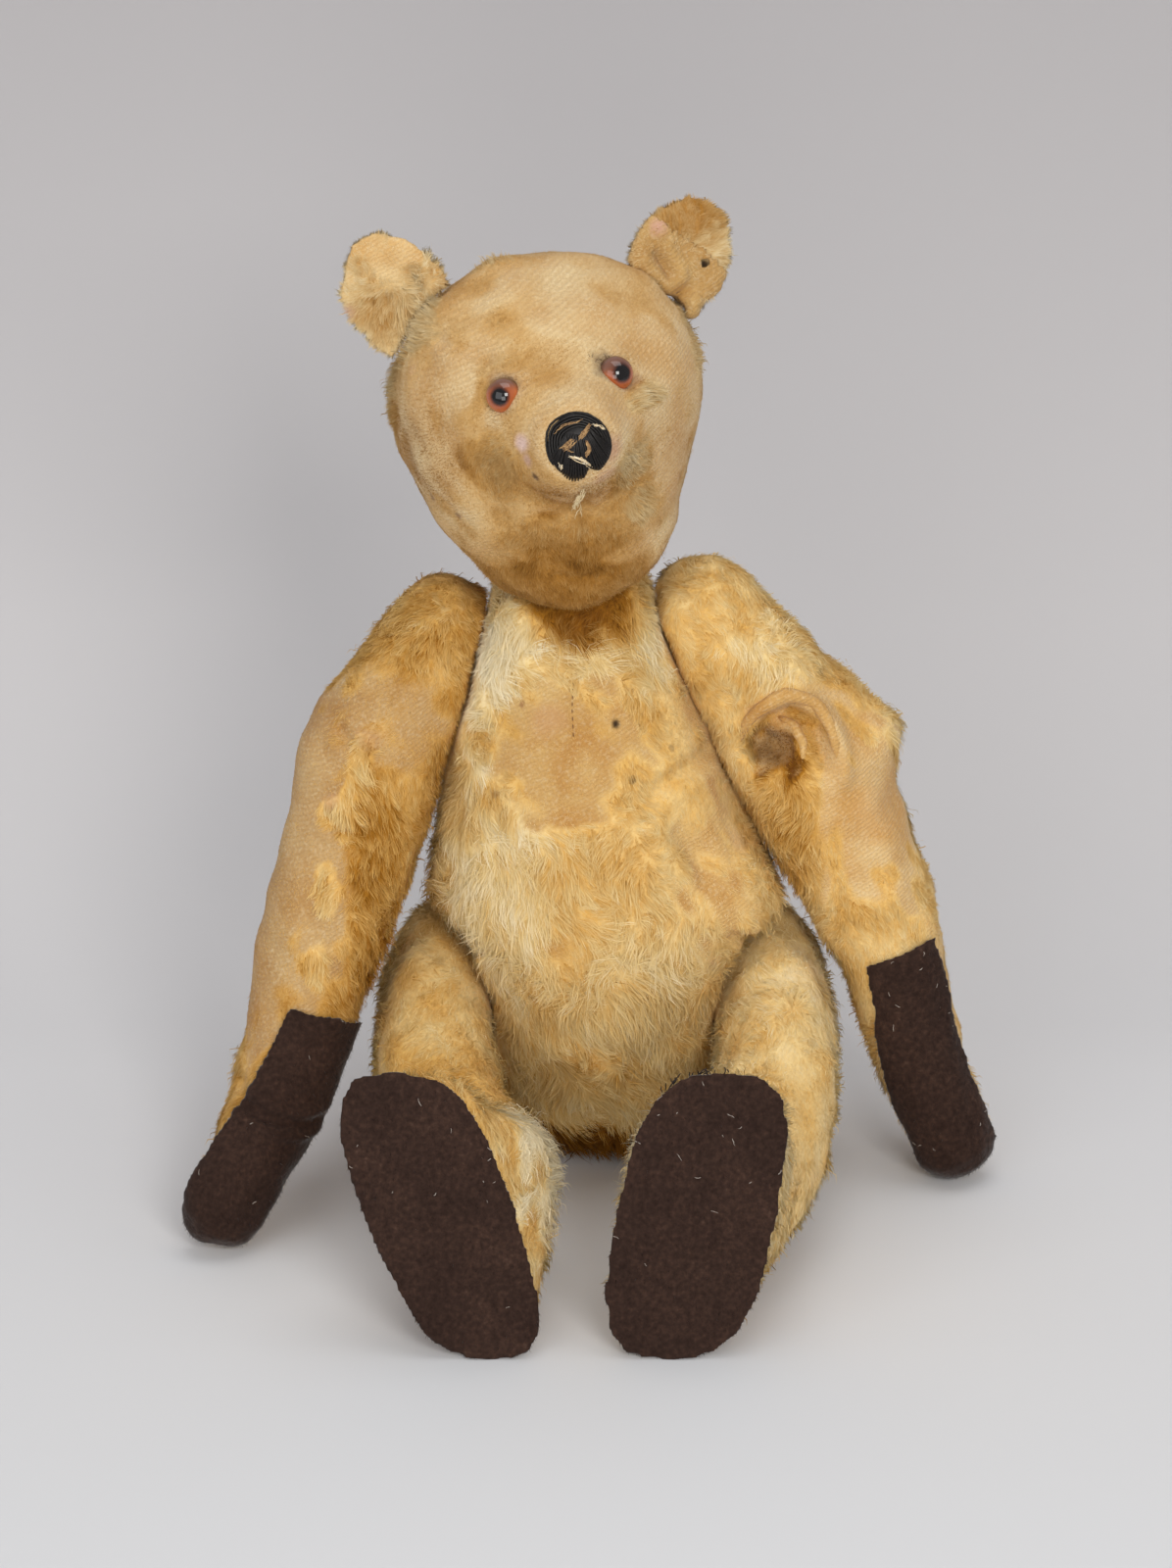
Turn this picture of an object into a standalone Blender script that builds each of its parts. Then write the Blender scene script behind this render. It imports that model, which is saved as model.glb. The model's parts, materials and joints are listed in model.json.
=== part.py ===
"""An old jointed teddy bear, sitting: threadbare mohair over wood wool, on five disc joints.

Metres, +Z up. The bear faces -Y and its own left is +X. The origin is on the floor, under the
middle of its flat seat. The head, arms and legs each hang on an empty on their joint, and are
modelled around it. Worn stuffing has let the bear slump, so its two sides are not alike.
"""

import math

import bmesh
import bpy
from mathutils import Matrix, Vector

# Cloth, filling and the gaps between pieces
COVER_WALL = 0.0016
STUFFING_SLACK = 0.0006
JOINT_GAP = 0.0005
SEAT_GAP = 0.0003

# The five disc joints, as places on the bear and the slope of each axis
NECK = Vector((-0.0075, 0.000, 0.2375))
NECK_ROLL = math.radians(8)
HEAD_PITCH = math.radians(12)
HEAD_YAW = math.radians(9)
SHOULDERS = {"left": Vector((0.028, 0.008, 0.209)), "right": Vector((-0.046, 0.008, 0.203))}
SHOULDER_SLOPE = {"left": math.radians(22), "right": math.radians(16)}
ARM_SWING = {"left": math.radians(7), "right": math.radians(20)}
HIPS = {"left": Vector((0.046, 0.005, 0.053)), "right": Vector((-0.040, 0.005, 0.053))}

# Hardboard discs, steel washers and split pins
DISC_RADIUS = {"neck": 0.017, "shoulder": 0.015, "hip": 0.020}
DISC_GAP = 0.0008
DISC_MARGIN = 0.014
DISC_PULL = 0.0055
DISC_THICK = 0.003
DISC_SIDES = 14
WASHER_RADIUS = 0.008
WASHER_THICK = 0.001
PIN_HOLE = 0.0018
PIN_WIRE = 0.00075
PIN_EYE = 0.0026

# Eyes, ears, nose and pads, placed from the head's middle
HEAD_MIDDLE = Vector((0, -0.003, 0.0715))
EYE_RADIUS = 0.006
EYE_SIDE = 0.021
EYE_FRONT = 0.0560
EYE_UP = 0.012
EYE_TURN = math.radians(20)
SHANK_WIRE = 0.0005
SHANK_LOOP = 0.003
EAR_HALVES = Vector((0.0195, 0.0045, 0.026))
EAR_CUP = 9.0
EARS = {
    "left": (Vector((0.055, -0.002, 0.043)), (0.0, math.radians(35), math.radians(12))),
    "right": (Vector((-0.048, -0.002, 0.046)), (0.0, math.radians(-33), math.radians(-12))),
}
NOSE_HALVES = Vector((0.0125, 0.007, 0.013))
NOSE_PLACE = Vector((0, -0.080, -0.007))
PAD_THICK = 0.0015
PAW_SEAM = 0.0009
PAW_LIFT = PAD_THICK + 1.5 * PAW_SEAM
PAW_ENDS = {"left": (0.585, 0.95), "right": (0.60, 0.95)}
PAW_TURNS = {"left": ((37, 112), (5, 175)), "right": ((72, 166), (5, 166))}
FOOT_LIFT = 0.0004
FOOT_START = 0.115
SOLE_LEAN = math.radians(8)
SOLE_SEAM = 0.0010

SIDES = {"left": 1, "right": -1}

for old in list(bpy.data.objects):
    bpy.data.objects.remove(old)

bear = bpy.data.collections.new("teddy_bear")
cutters = bpy.data.collections.new("cutters")
for folder in (bear, cutters):
    bpy.context.scene.collection.children.link(folder)


def finish(name, colour, roughness, metallic=0.0):
    """A plain surface of one colour."""
    material = bpy.data.materials.new(name)
    material.use_nodes = True
    shader = material.node_tree.nodes["Principled BSDF"]
    shader.inputs["Base Color"].default_value = (*colour, 1)
    shader.inputs["Roughness"].default_value = roughness
    shader.inputs["Metallic"].default_value = metallic
    return material


MOHAIR = finish("worn_mohair", (0.62, 0.44, 0.22), 0.95)
VELVETEEN = finish("brown_velveteen", (0.042, 0.023, 0.018), 0.95)
WOOD_WOOL = finish("wood_wool", (0.58, 0.43, 0.24), 0.9)
NOSE_THREAD = finish("black_silk_thread", (0.008, 0.006, 0.005), 0.45)
AMBER_GLASS = finish("amber_glass", (0.30, 0.07, 0.02), 0.08)
HARDBOARD = finish("hardboard", (0.20, 0.11, 0.05), 0.8)
STEEL = finish("dull_steel", (0.35, 0.33, 0.31), 0.5, 1.0)


def blended(keys, x):
    """The rows of keys blended at x by a smooth curve through them; row[0] is the place."""
    if x <= keys[0][0]:
        return list(keys[0][1:])
    if x >= keys[-1][0]:
        return list(keys[-1][1:])
    i = max(n for n, key in enumerate(keys) if key[0] <= x)
    a, b = keys[i], keys[i + 1]
    before, after = keys[max(i - 1, 0)], keys[min(i + 2, len(keys) - 1)]
    span = b[0] - a[0]
    f = (x - a[0]) / span
    row = []
    for k in range(1, len(a)):
        slope_a = (b[k] - before[k]) / (b[0] - before[0]) * span
        slope_b = (after[k] - a[k]) / (after[0] - a[0]) * span
        row.append(
            a[k] * (2 * f**3 - 3 * f**2 + 1)
            + slope_a * (f**3 - 2 * f**2 + f)
            + b[k] * (3 * f**2 - 2 * f**3)
            + slope_b * (f**3 - f**2)
        )
    return row


class Form:
    """A soft skin, oval in section, around a straight axis.

    stations holds rows of (place along the axis, centre to the side, centre to the front, half
    size to the side, half size to the front, how much wider the front half is than the back,
    how far the oval is drawn out to a square). start and end are the heights of the round ends;
    an end of None is cut off flat. side, front and along are the directions. presses are the
    planes, folds and hollows that shape the skin.
    """

    CAP_SHARE = 0.2

    def __init__(self, stations, start, end, side, front, along):
        self.stations = stations
        self.start, self.end = start, end
        self.side, self.front, self.along = side, front, along
        self.presses = []

    def place(self, s):
        """The place along the axis and the share of the full section, s running from 0 to 1."""
        first, last = self.stations[0][0], self.stations[-1][0]
        stop = 1 - self.CAP_SHARE if self.end else 1.0
        if s < self.CAP_SHARE:
            turn = s / self.CAP_SHARE * math.pi / 2
            return first - self.start * math.cos(turn), math.sin(turn)
        if s > stop:
            turn = (1 - s) / (1 - stop) * math.pi / 2
            return last + self.end * math.cos(turn), math.sin(turn)
        return first + (last - first) * (s - self.CAP_SHARE) / (stop - self.CAP_SHARE), 1.0

    def middle(self, s):
        """The middle of the section."""
        at = self.place(s)[0]
        to_side, to_front = blended(self.stations, at)[:2]
        return self.along * at + self.side * to_side + self.front * to_front

    def point(self, s, turn):
        """A point on the skin, turn running once round the section from the side."""
        at, share = self.place(s)
        to_side, to_front, half_side, half_front, egg, square = blended(self.stations, at)
        across = math.copysign(abs(math.cos(turn)) ** (1 - square), math.cos(turn))
        ahead = math.copysign(abs(math.sin(turn)) ** (1 - square), math.sin(turn))
        p = (
            self.along * at
            + self.side * (to_side + half_side * share * across * (1 + egg * ahead))
            + self.front * (to_front + half_front * share * ahead)
        )
        for press in self.presses:
            p = press(p)
        return p


def flat_press(on, outward, flares=()):
    """A press that keeps a skin behind a plane.

    Each flare is a radius from the middle and the slope at which the skin may rise past it.
    """

    def press(p):
        height = (p - on).dot(outward)
        across = ((p - on) - outward * height).length
        allowed = sum(max(0.0, across - radius) * slope for radius, slope in flares)
        return p - outward * max(0.0, height - allowed)

    return press


def disc_press(on, outward, radius):
    """A press that draws the skin out flat over a disc and a margin around it."""

    def press(p):
        height = (p - on).dot(outward)
        across = ((p - on) - outward * height).length
        near = across < radius + DISC_MARGIN and height > -DISC_PULL
        return p - outward * height if near else p

    return press


def dent(at, towards, reach, depth):
    """A press that sinks a soft hollow, or raises a bulge if depth is below zero."""

    def press(p):
        return p + towards * depth * math.exp(-((p - at).length_squared) / (2 * reach * reach))

    return press


def furrow(at, run, towards, width, length, depth):
    """A press that sinks a straight fold of a width and a length."""

    def press(p):
        offset = p - at
        far = offset.dot(run)
        across = (offset - run * far).length
        fade = math.exp(-((far / length) ** 2)) * math.exp(-((across / width) ** 2))
        return p + towards * depth * fade

    return press


def add_object(name, mesh, material, parent=None, folder=bear):
    """An object in a folder, smooth but for its sharp edges."""
    obj = bpy.data.objects.new(name, mesh)
    folder.objects.link(obj)
    if folder is cutters:
        obj.hide_render = True
        obj.display_type = "WIRE"
    else:
        mesh.materials.append(material)
        mesh.shade_smooth()
        mesh.set_sharp_from_angle(angle=math.radians(50))
    obj.parent = parent
    return obj


def skin_mesh(name, form, rings, segments, inset=0.0, ends=(0.0, 1.0), turns=None, fill=False):
    """A mesh of a form's skin, or of a patch of it, moved inwards by the inset.

    turns holds the degrees round the section that a patch runs between, at its two ends.
    """
    narrow, wide = turns or ((0, 360), (0, 360))
    bm = bmesh.new()
    bmesh.ops.create_grid(bm, x_segments=segments, y_segments=rings, size=0.5)
    for v in bm.verts:
        share = v.co.y + 0.5
        s = ends[0] + (ends[1] - ends[0]) * share
        first, last = (a + (b - a) * share for a, b in zip(narrow, wide))
        v.co = form.point(s, math.radians(first + (last - first) * (v.co.x + 0.5)))
    bmesh.ops.remove_doubles(bm, verts=bm.verts, dist=1e-6)
    bmesh.ops.triangulate(bm, faces=bm.faces)
    if fill:
        bmesh.ops.holes_fill(bm, edges=[e for e in bm.edges if e.is_boundary], sides=0)
    bmesh.ops.recalc_face_normals(bm, faces=bm.faces)
    middle = form.middle(sum(ends) / 2)
    if sum(f.normal.dot(f.calc_center_median() - middle) * f.calc_area() for f in bm.faces) < 0:
        bmesh.ops.reverse_faces(bm, faces=bm.faces)
    bm.normal_update()
    for v, shift in [(v, v.normal * inset * v.calc_shell_factor()) for v in bm.verts]:
        v.co -= shift
    mesh = bpy.data.meshes.new(name)
    bm.to_mesh(mesh)
    bm.free()
    return mesh


def solidify(obj, thickness, offset):
    """Give an open skin its thickness."""
    wall = obj.modifiers.new("wall", "SOLIDIFY")
    wall.thickness = thickness
    wall.offset = offset
    wall.use_even_offset = True


def cut(obj, cutter):
    """Take one closed shape out of another."""
    step = obj.modifiers.new("cut_" + cutter.name, "BOOLEAN")
    step.operation = "DIFFERENCE"
    step.object = cutter


def turned(name, profile, material, parent, sides=20, folder=bear):
    """A shape turned around its parent's X axis from a closed profile of (height, radius)."""
    bm = bmesh.new()
    corners = [bm.verts.new((x, r, 0)) for x, r in profile]
    ends = corners[1:] + corners[:1]
    edges = [bm.edges.new(pair) for pair in zip(corners, ends) if pair[0].co.y + pair[1].co.y > 0]
    bmesh.ops.spin(
        bm,
        geom=corners + edges,
        cent=(0, 0, 0),
        axis=(1, 0, 0),
        angle=2 * math.pi,
        steps=sides,
        use_merge=True,
    )
    bmesh.ops.remove_doubles(bm, verts=bm.verts, dist=1e-6)
    bmesh.ops.recalc_face_normals(bm, faces=bm.faces)
    mesh = bpy.data.meshes.new(name)
    bm.to_mesh(mesh)
    bm.free()
    return add_object(name, mesh, material, parent, folder)


def ring_profile(start, end, radius, bore):
    """The profile of a flat ring between two heights."""
    return [(start, bore), (start, radius), (end, radius), (end, bore)]


def wire(name, points, radius, material, parent):
    """A bent wire through points, with filled ends."""
    curve = bpy.data.curves.new(name, "CURVE")
    curve.dimensions = "3D"
    curve.bevel_depth = radius
    curve.bevel_resolution = 0
    curve.use_fill_caps = True
    line = curve.splines.new("POLY")
    line.points.add(len(points) - 1)
    for spot, p in zip(line.points, points):
        spot.co = (*p, 1)
    curve.materials.append(material)
    obj = bpy.data.objects.new(name, curve)
    bear.objects.link(obj)
    obj.parent = parent
    return obj


def empty(name, place, turn=None, parent=None):
    """A joint's empty, on its axis."""
    obj = bpy.data.objects.new(name, None)
    obj.empty_display_size = 0.03
    bear.objects.link(obj)
    obj.location = place
    if turn:
        obj.rotation_euler = turn.to_euler()
    obj.parent = parent
    return obj


def split_pin(name, eye_at, crown_at, parent):
    """A split pin along X: an eye behind one washer, and two legs rolled over the other."""
    inward = 1 if crown_at > eye_at else -1
    points = []
    for step in range(7):
        turn = math.radians(25 + step * 310 / 6)
        points.append(Vector((inward * math.cos(turn), math.sin(turn), 0)))
    eye = [Vector((eye_at, 0, 0)) + p * PIN_EYE for p in points]
    half = PIN_WIRE * 1.05
    leg = [Vector((eye_at + inward * PIN_EYE * 1.3, half, 0)), Vector((crown_at, half, 0))]
    hook = []
    for step in range(1, 4):
        turn = math.radians(step * 55)
        hook.append(
            Vector((crown_at + inward * 0.002 * math.sin(turn), half + 0.002 * (1 - math.cos(turn)), 0))
        )
    upper = leg + hook
    lower = [Vector((p.x, -p.y, 0)) for p in upper]
    return wire(name, list(reversed(upper)) + eye + lower, PIN_WIRE * 0.6, STEEL, parent)


class Joint:
    """A disc joint: two hardboard discs back to back through the cloth, two washers and a pin.

    The joint's X axis runs out of the torso. outer is the empty that moves with the limb, and
    inner the one that stays with the torso.
    """

    WALL = COVER_WALL + DISC_GAP
    DISC_BACK = WALL + DISC_THICK
    WASHER_FACE = DISC_BACK + SEAT_GAP
    WASHER_BACK = WASHER_FACE + WASHER_THICK
    POCKET = 0.015

    def __init__(self, name, radius, outer, inner):
        self.name, self.radius = name, radius
        self.outer, self.inner = outer, inner

    def stack(self, side, parent, sign, start):
        """The disc and the washer on one side of the cloth."""
        label = self.name + "_" + side
        for part, near, far, radius, finish_, sides in (
            ("_disc", self.WALL, self.DISC_BACK, self.radius, HARDBOARD, DISC_SIDES),
            ("_washer", self.WASHER_FACE, self.WASHER_BACK, WASHER_RADIUS, STEEL, 10),
        ):
            profile = ring_profile(sign * near + start, sign * far + start, radius, PIN_HOLE)
            turned(label + part, profile, finish_, parent, sides)

    def build(self):
        """Make every piece of the joint."""
        self.stack("limb", self.outer, 1, JOINT_GAP)
        self.stack("body", self.inner, -1, 0.0)
        eye = JOINT_GAP + self.WASHER_BACK + SEAT_GAP + PIN_WIRE * 0.6 + PIN_EYE
        crown = -(self.WASHER_BACK + SEAT_GAP + PIN_WIRE)
        split_pin(self.name + "_pin", eye, crown, self.outer)

    def pocket(self, parent, sign, start):
        """The cutter for the hollow that the filling leaves around one disc and washer."""
        back = self.DISC_BACK + SEAT_GAP
        wide, narrow = self.radius + SEAT_GAP, WASHER_RADIUS + SEAT_GAP
        profile = [
            (start - sign * 0.01, 0),
            (start - sign * 0.01, wide),
            (start + sign * back, wide),
            (start + sign * back, narrow),
            (start + sign * self.POCKET, narrow),
            (start + sign * self.POCKET, 0),
        ]
        label = "cut_" + self.name + ("_limb" if sign > 0 else "_body")
        return turned(label, profile, None, parent, DISC_SIDES, cutters)

    def hole(self, parent):
        """The cutter for the pin's hole through both covers."""
        profile = [(-0.004, 0), (-0.004, PIN_HOLE), (0.004, PIN_HOLE), (0.004, 0)]
        return turned("cut_hole_" + self.name + "_" + parent.name, profile, None, parent, 8, cutters)


def soft_pair(name, form, parent, rings, segments, holes, pockets, fill=False):
    """The cover over a form, with its pin holes, and the wood wool inside it."""
    cover = add_object(name + "_cover", skin_mesh(name, form, rings, segments), MOHAIR, parent)
    solidify(cover, COVER_WALL, -1)
    for cutter in holes:
        cut(cover, cutter)
    inset = COVER_WALL + STUFFING_SLACK
    mesh = skin_mesh(name + "_fill", form, rings, segments, inset, fill=fill)
    filling = add_object(name + "_stuffing", mesh, WOOD_WOOL, parent)
    for cutter in pockets:
        cut(filling, cutter)
    return cover, filling


def on_plane(parent, place, direction):
    """A world place and direction in an empty's own frame."""
    back = parent.matrix_world.inverted()
    return back @ place, (back.to_3x3() @ direction).normalized()


def make_torso(joints, neck_axis, shoulder_axes):
    """The pear-shaped body, slumped on its flat seat, with slack folds at its left side."""
    form = Form(
        [
            (0.030, 0.003, -0.004, 0.045, 0.039, 0, 0),
            (0.053, 0.003, 0.000, 0.051, 0.047, 0, 0),
            (0.082, 0.0035, 0.005, 0.054, 0.054, 0, 0),
            (0.108, 0.004, 0.006, 0.066, 0.058, 0, 0),
            (0.138, 0.001, 0.004, 0.061, 0.053, 0, 0),
            (0.166, -0.004, 0.001, 0.053, 0.047, 0, 0),
            (0.193, -0.008, -0.003, 0.050, 0.041, 0, 0),
            (0.212, -0.0095, -0.003, 0.046, 0.036, 0, 0),
            (0.226, -0.0095, -0.001, 0.039, 0.032, 0, 0),
        ],
        start=0.040,
        end=0.018,
        side=Vector((1, 0, 0)),
        front=Vector((0, -1, 0)),
        along=Vector((0, 0, 1)),
    )
    form.presses = [
        furrow(
            Vector((0.046, -0.046, 0.124)), Vector((0.3, -0.1, -0.95)), Vector((-0.6, 0.8, 0)),
            0.008, 0.022, 0.006,
        ),
        furrow(
            Vector((0.052, -0.036, 0.092)), Vector((0.85, 0.4, 0.35)), Vector((-0.6, 0.8, 0)),
            0.006, 0.020, 0.004,
        ),
    ]
    for side, sign in SIDES.items():
        outward = Vector((sign, 0, 0))
        form.presses += [
            flat_press(SHOULDERS[side], shoulder_axes[side]),
            disc_press(SHOULDERS[side], shoulder_axes[side], DISC_RADIUS["shoulder"]),
            flat_press(HIPS[side], outward, ((0.046, 2.0),)),
            disc_press(HIPS[side], outward, DISC_RADIUS["hip"]),
        ]
    form.presses += [
        flat_press(NECK, neck_axis),
        disc_press(NECK, neck_axis, DISC_RADIUS["neck"]),
        flat_press(Vector((0, 0, 0)), Vector((0, 0, -1))),
    ]
    holes = [joint.hole(joint.inner) for joint in joints]
    pockets = [joint.pocket(joint.inner, -1, 0.0) for joint in joints]
    return soft_pair("torso", form, None, 18, 22, holes, pockets)


def make_head(joint, neck, head):
    """The head, with its sockets, and everything sewn on it."""
    form = Form(
        [
            (-0.030, 0, -0.014, 0.050, 0.062, 0.20, 0),
            (-0.010, 0, -0.014, 0.057, 0.068, 0.23, 0),
            (0.010, 0, -0.013, 0.0575, 0.069, 0.25, 0),
            (0.025, 0, -0.013, 0.054, 0.063, 0.25, 0),
            (0.040, 0, -0.009, 0.045, 0.048, 0.2, 0),
            (0.053, 0, -0.006, 0.033, 0.032, 0.1, 0),
            (0.066, 0, -0.006, 0.0235, 0.0225, 0, 0),
            (0.076, 0, -0.007, 0.0185, 0.0175, 0, 0),
        ],
        start=0.024,
        end=0.008,
        side=Vector((1, 0, 0)),
        front=Vector((0, 0, 1)),
        along=Vector((0, -1, 0)),
    )
    axis = neck.matrix_world.to_3x3() @ Vector((0, 0, 1))
    on, down = on_plane(head, NECK + axis * JOINT_GAP, -axis)
    form.presses = [flat_press(on, down), disc_press(on, down, DISC_RADIUS["neck"])]
    hole = joint.hole(joint.outer)
    pocket = joint.pocket(joint.outer, 1, JOINT_GAP)
    cover, filling = soft_pair("head", form, head, 16, 22, [hole], [pocket])
    block = skin_mesh("head_block", form, 16, 22, -SEAT_GAP)
    return cover, filling, add_object("cut_head", block, None, head, cutters)


def pressed_ball(name, halves, bend, segments=14, rings=8):
    """A ball drawn out to three half sizes and cupped forwards at its rim."""
    bm = bmesh.new()
    bmesh.ops.create_uvsphere(bm, u_segments=segments, v_segments=rings, radius=1)
    bmesh.ops.rotate(bm, verts=bm.verts, matrix=Matrix.Rotation(math.pi / 2, 3, "X"))
    bmesh.ops.scale(bm, verts=bm.verts, vec=halves)
    for v in bm.verts:
        v.co.y -= bend * (v.co.x**2 + v.co.z**2)
    mesh = bpy.data.meshes.new(name)
    bm.to_mesh(mesh)
    bm.free()
    return mesh


def ball(name, radius, material, parent, folder=bear):
    """A round ball, for an eye or its socket."""
    return add_object(name, pressed_ball(name, (radius,) * 3, 0, 12, 8), material, parent, folder)


def make_eye(side, head, head_cover, head_filling):
    """A glass eye on a wire shank, in a socket through the cover."""
    name = side + "_eye"
    at = Vector((SIDES[side] * EYE_SIDE, -EYE_FRONT, EYE_UP))
    seat = empty(name + "_seat", at, Matrix.Rotation(SIDES[side] * EYE_TURN, 3, "Z"), head)
    ball(name, EYE_RADIUS, AMBER_GLASS, seat)
    socket = ball("cut_" + name, EYE_RADIUS + SEAT_GAP, None, seat, cutters)
    cut(head_cover, socket)
    cut(head_filling, socket)
    back, half = EYE_RADIUS + SEAT_GAP, SHANK_LOOP / 2
    loop = [(-half, back), (-half, back + 0.003)]
    for step in range(1, 6):
        turn = math.pi - step * math.pi / 6
        loop.append((half * math.cos(turn), back + 0.003 + half * math.sin(turn)))
    loop += [(half, back + 0.003), (half, back)]
    wire(name + "_shank", [Vector((x, y, 0)) for x, y in loop], SHANK_WIRE, STEEL, seat)
    profile = [(0, 0), (0, SHANK_LOOP), (0.0125, SHANK_LOOP), (0.0125, 0)]
    well = turned("cut_" + name + "_shank", profile, None, seat, 8, cutters)
    well.rotation_euler = (0, 0, math.pi / 2)
    cut(head_filling, well)


def make_ear(side, head, block):
    """A cupped ear of two layers, its foot sewn along the head."""
    place, turn = EARS[side]
    mesh = pressed_ball(side + "_ear", EAR_HALVES, EAR_CUP)
    ear = add_object(side + "_ear", mesh, MOHAIR, head)
    ear.location = place
    ear.rotation_euler = turn
    cut(ear, block)


def make_nose(head, block):
    """The domed shield of stitched thread on the tip of the muzzle."""
    nose = add_object("nose_stitching", pressed_ball("nose", NOSE_HALVES, 0), NOSE_THREAD, head)
    nose.location = NOSE_PLACE
    cut(nose, block)


def make_arm(side, stations, end, folds, shoulder, joint):
    """One arm with its paw pad, hanging down its shoulder's own frame."""
    sign = SIDES[side]
    form = Form(
        stations,
        start=0.027,
        end=end,
        side=Vector((sign, 0, 0)),
        front=Vector((0, -1, 0)),
        along=Vector((0, 0, -1)),
    )
    floor, down = on_plane(shoulder, Vector((0, 0, PAW_LIFT)), Vector((0, 0, -1)))
    on, inwards = Vector((sign * JOINT_GAP, 0, 0)), Vector((-sign, 0, 0))
    form.presses = folds + [
        flat_press(on, inwards),
        disc_press(on, inwards, DISC_RADIUS["shoulder"]),
        flat_press(floor, down),
    ]
    hole = joint.hole(joint.outer)
    pocket = joint.pocket(joint.outer, 1, JOINT_GAP)
    soft_pair(side + "_arm", form, shoulder, 16, 14, [hole], [pocket])
    name = side + "_paw_pad"
    mesh = skin_mesh(name, form, 7, 7, -PAW_SEAM, PAW_ENDS[side], PAW_TURNS[side])
    solidify(add_object(name, mesh, VELVETEEN, shoulder), PAD_THICK, 1)


def make_leg(side, stations, toe_out, hip, joint):
    """One leg and its foot pad, pointing forwards from its hip."""
    sign = SIDES[side]
    form = Form(
        stations,
        start=0.046,
        end=None,
        side=Vector((sign, 0, 0)),
        front=Vector((0, 0, 1)),
        along=Vector((0, -1, 0)),
    )

    def turn_foot(p):
        """Lean the sole back, and turn the toes out."""
        share = min(max((-p.y - FOOT_START) / (form.stations[-1][0] - FOOT_START), 0), 1)
        share = share * share * (3 - 2 * share)
        lean = Vector((sign * math.tan(toe_out), math.tan(SOLE_LEAN), 0))
        return p + lean * share * (p.z - stations[-1][2])

    on, inwards = Vector((sign * JOINT_GAP, 0, 0)), Vector((-sign, 0, 0))
    floor = Vector((0, 0, FOOT_LIFT - HIPS[side].z))
    form.presses = [
        turn_foot,
        flat_press(on, inwards, ((0.050, 0.9),)),
        disc_press(on, inwards, DISC_RADIUS["hip"]),
        flat_press(floor, Vector((0, 0, -1))),
    ]
    hole = joint.hole(joint.outer)
    pocket = joint.pocket(joint.outer, 1, JOINT_GAP)
    soft_pair(side + "_leg", form, hip, 16, 16, [hole], [pocket], fill=True)
    name = side + "_foot_pad"
    bm = bmesh.new()
    bmesh.ops.create_circle(bm, cap_ends=True, segments=16, radius=1)
    away = Vector((0, -1, math.tan(SOLE_LEAN))).normalized() * SOLE_SEAM
    for v in bm.verts:
        v.co = form.point(1.0, math.atan2(v.co.y, v.co.x)) + away
    bmesh.ops.recalc_face_normals(bm, faces=bm.faces)
    bm.faces.ensure_lookup_table()
    if bm.faces[0].normal.y > 0:
        bmesh.ops.reverse_faces(bm, faces=bm.faces)
    mesh = bpy.data.meshes.new(name)
    bm.to_mesh(mesh)
    bm.free()
    solidify(add_object(name, mesh, VELVETEEN, hip), PAD_THICK, 1)


def joint_empties(name, place, outward, moving, parent=None):
    """The two empties at a joint, their X axes out of the torso: one moves with the limb."""
    turn = Vector((1, 0, 0)).rotation_difference(outward)
    still = empty(name + "_body_side", place, turn.to_matrix())
    outer = empty(name + "_limb_side", Vector(), None, moving)
    bpy.context.view_layer.update()
    outer.matrix_world = still.matrix_world
    return outer, still


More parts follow.
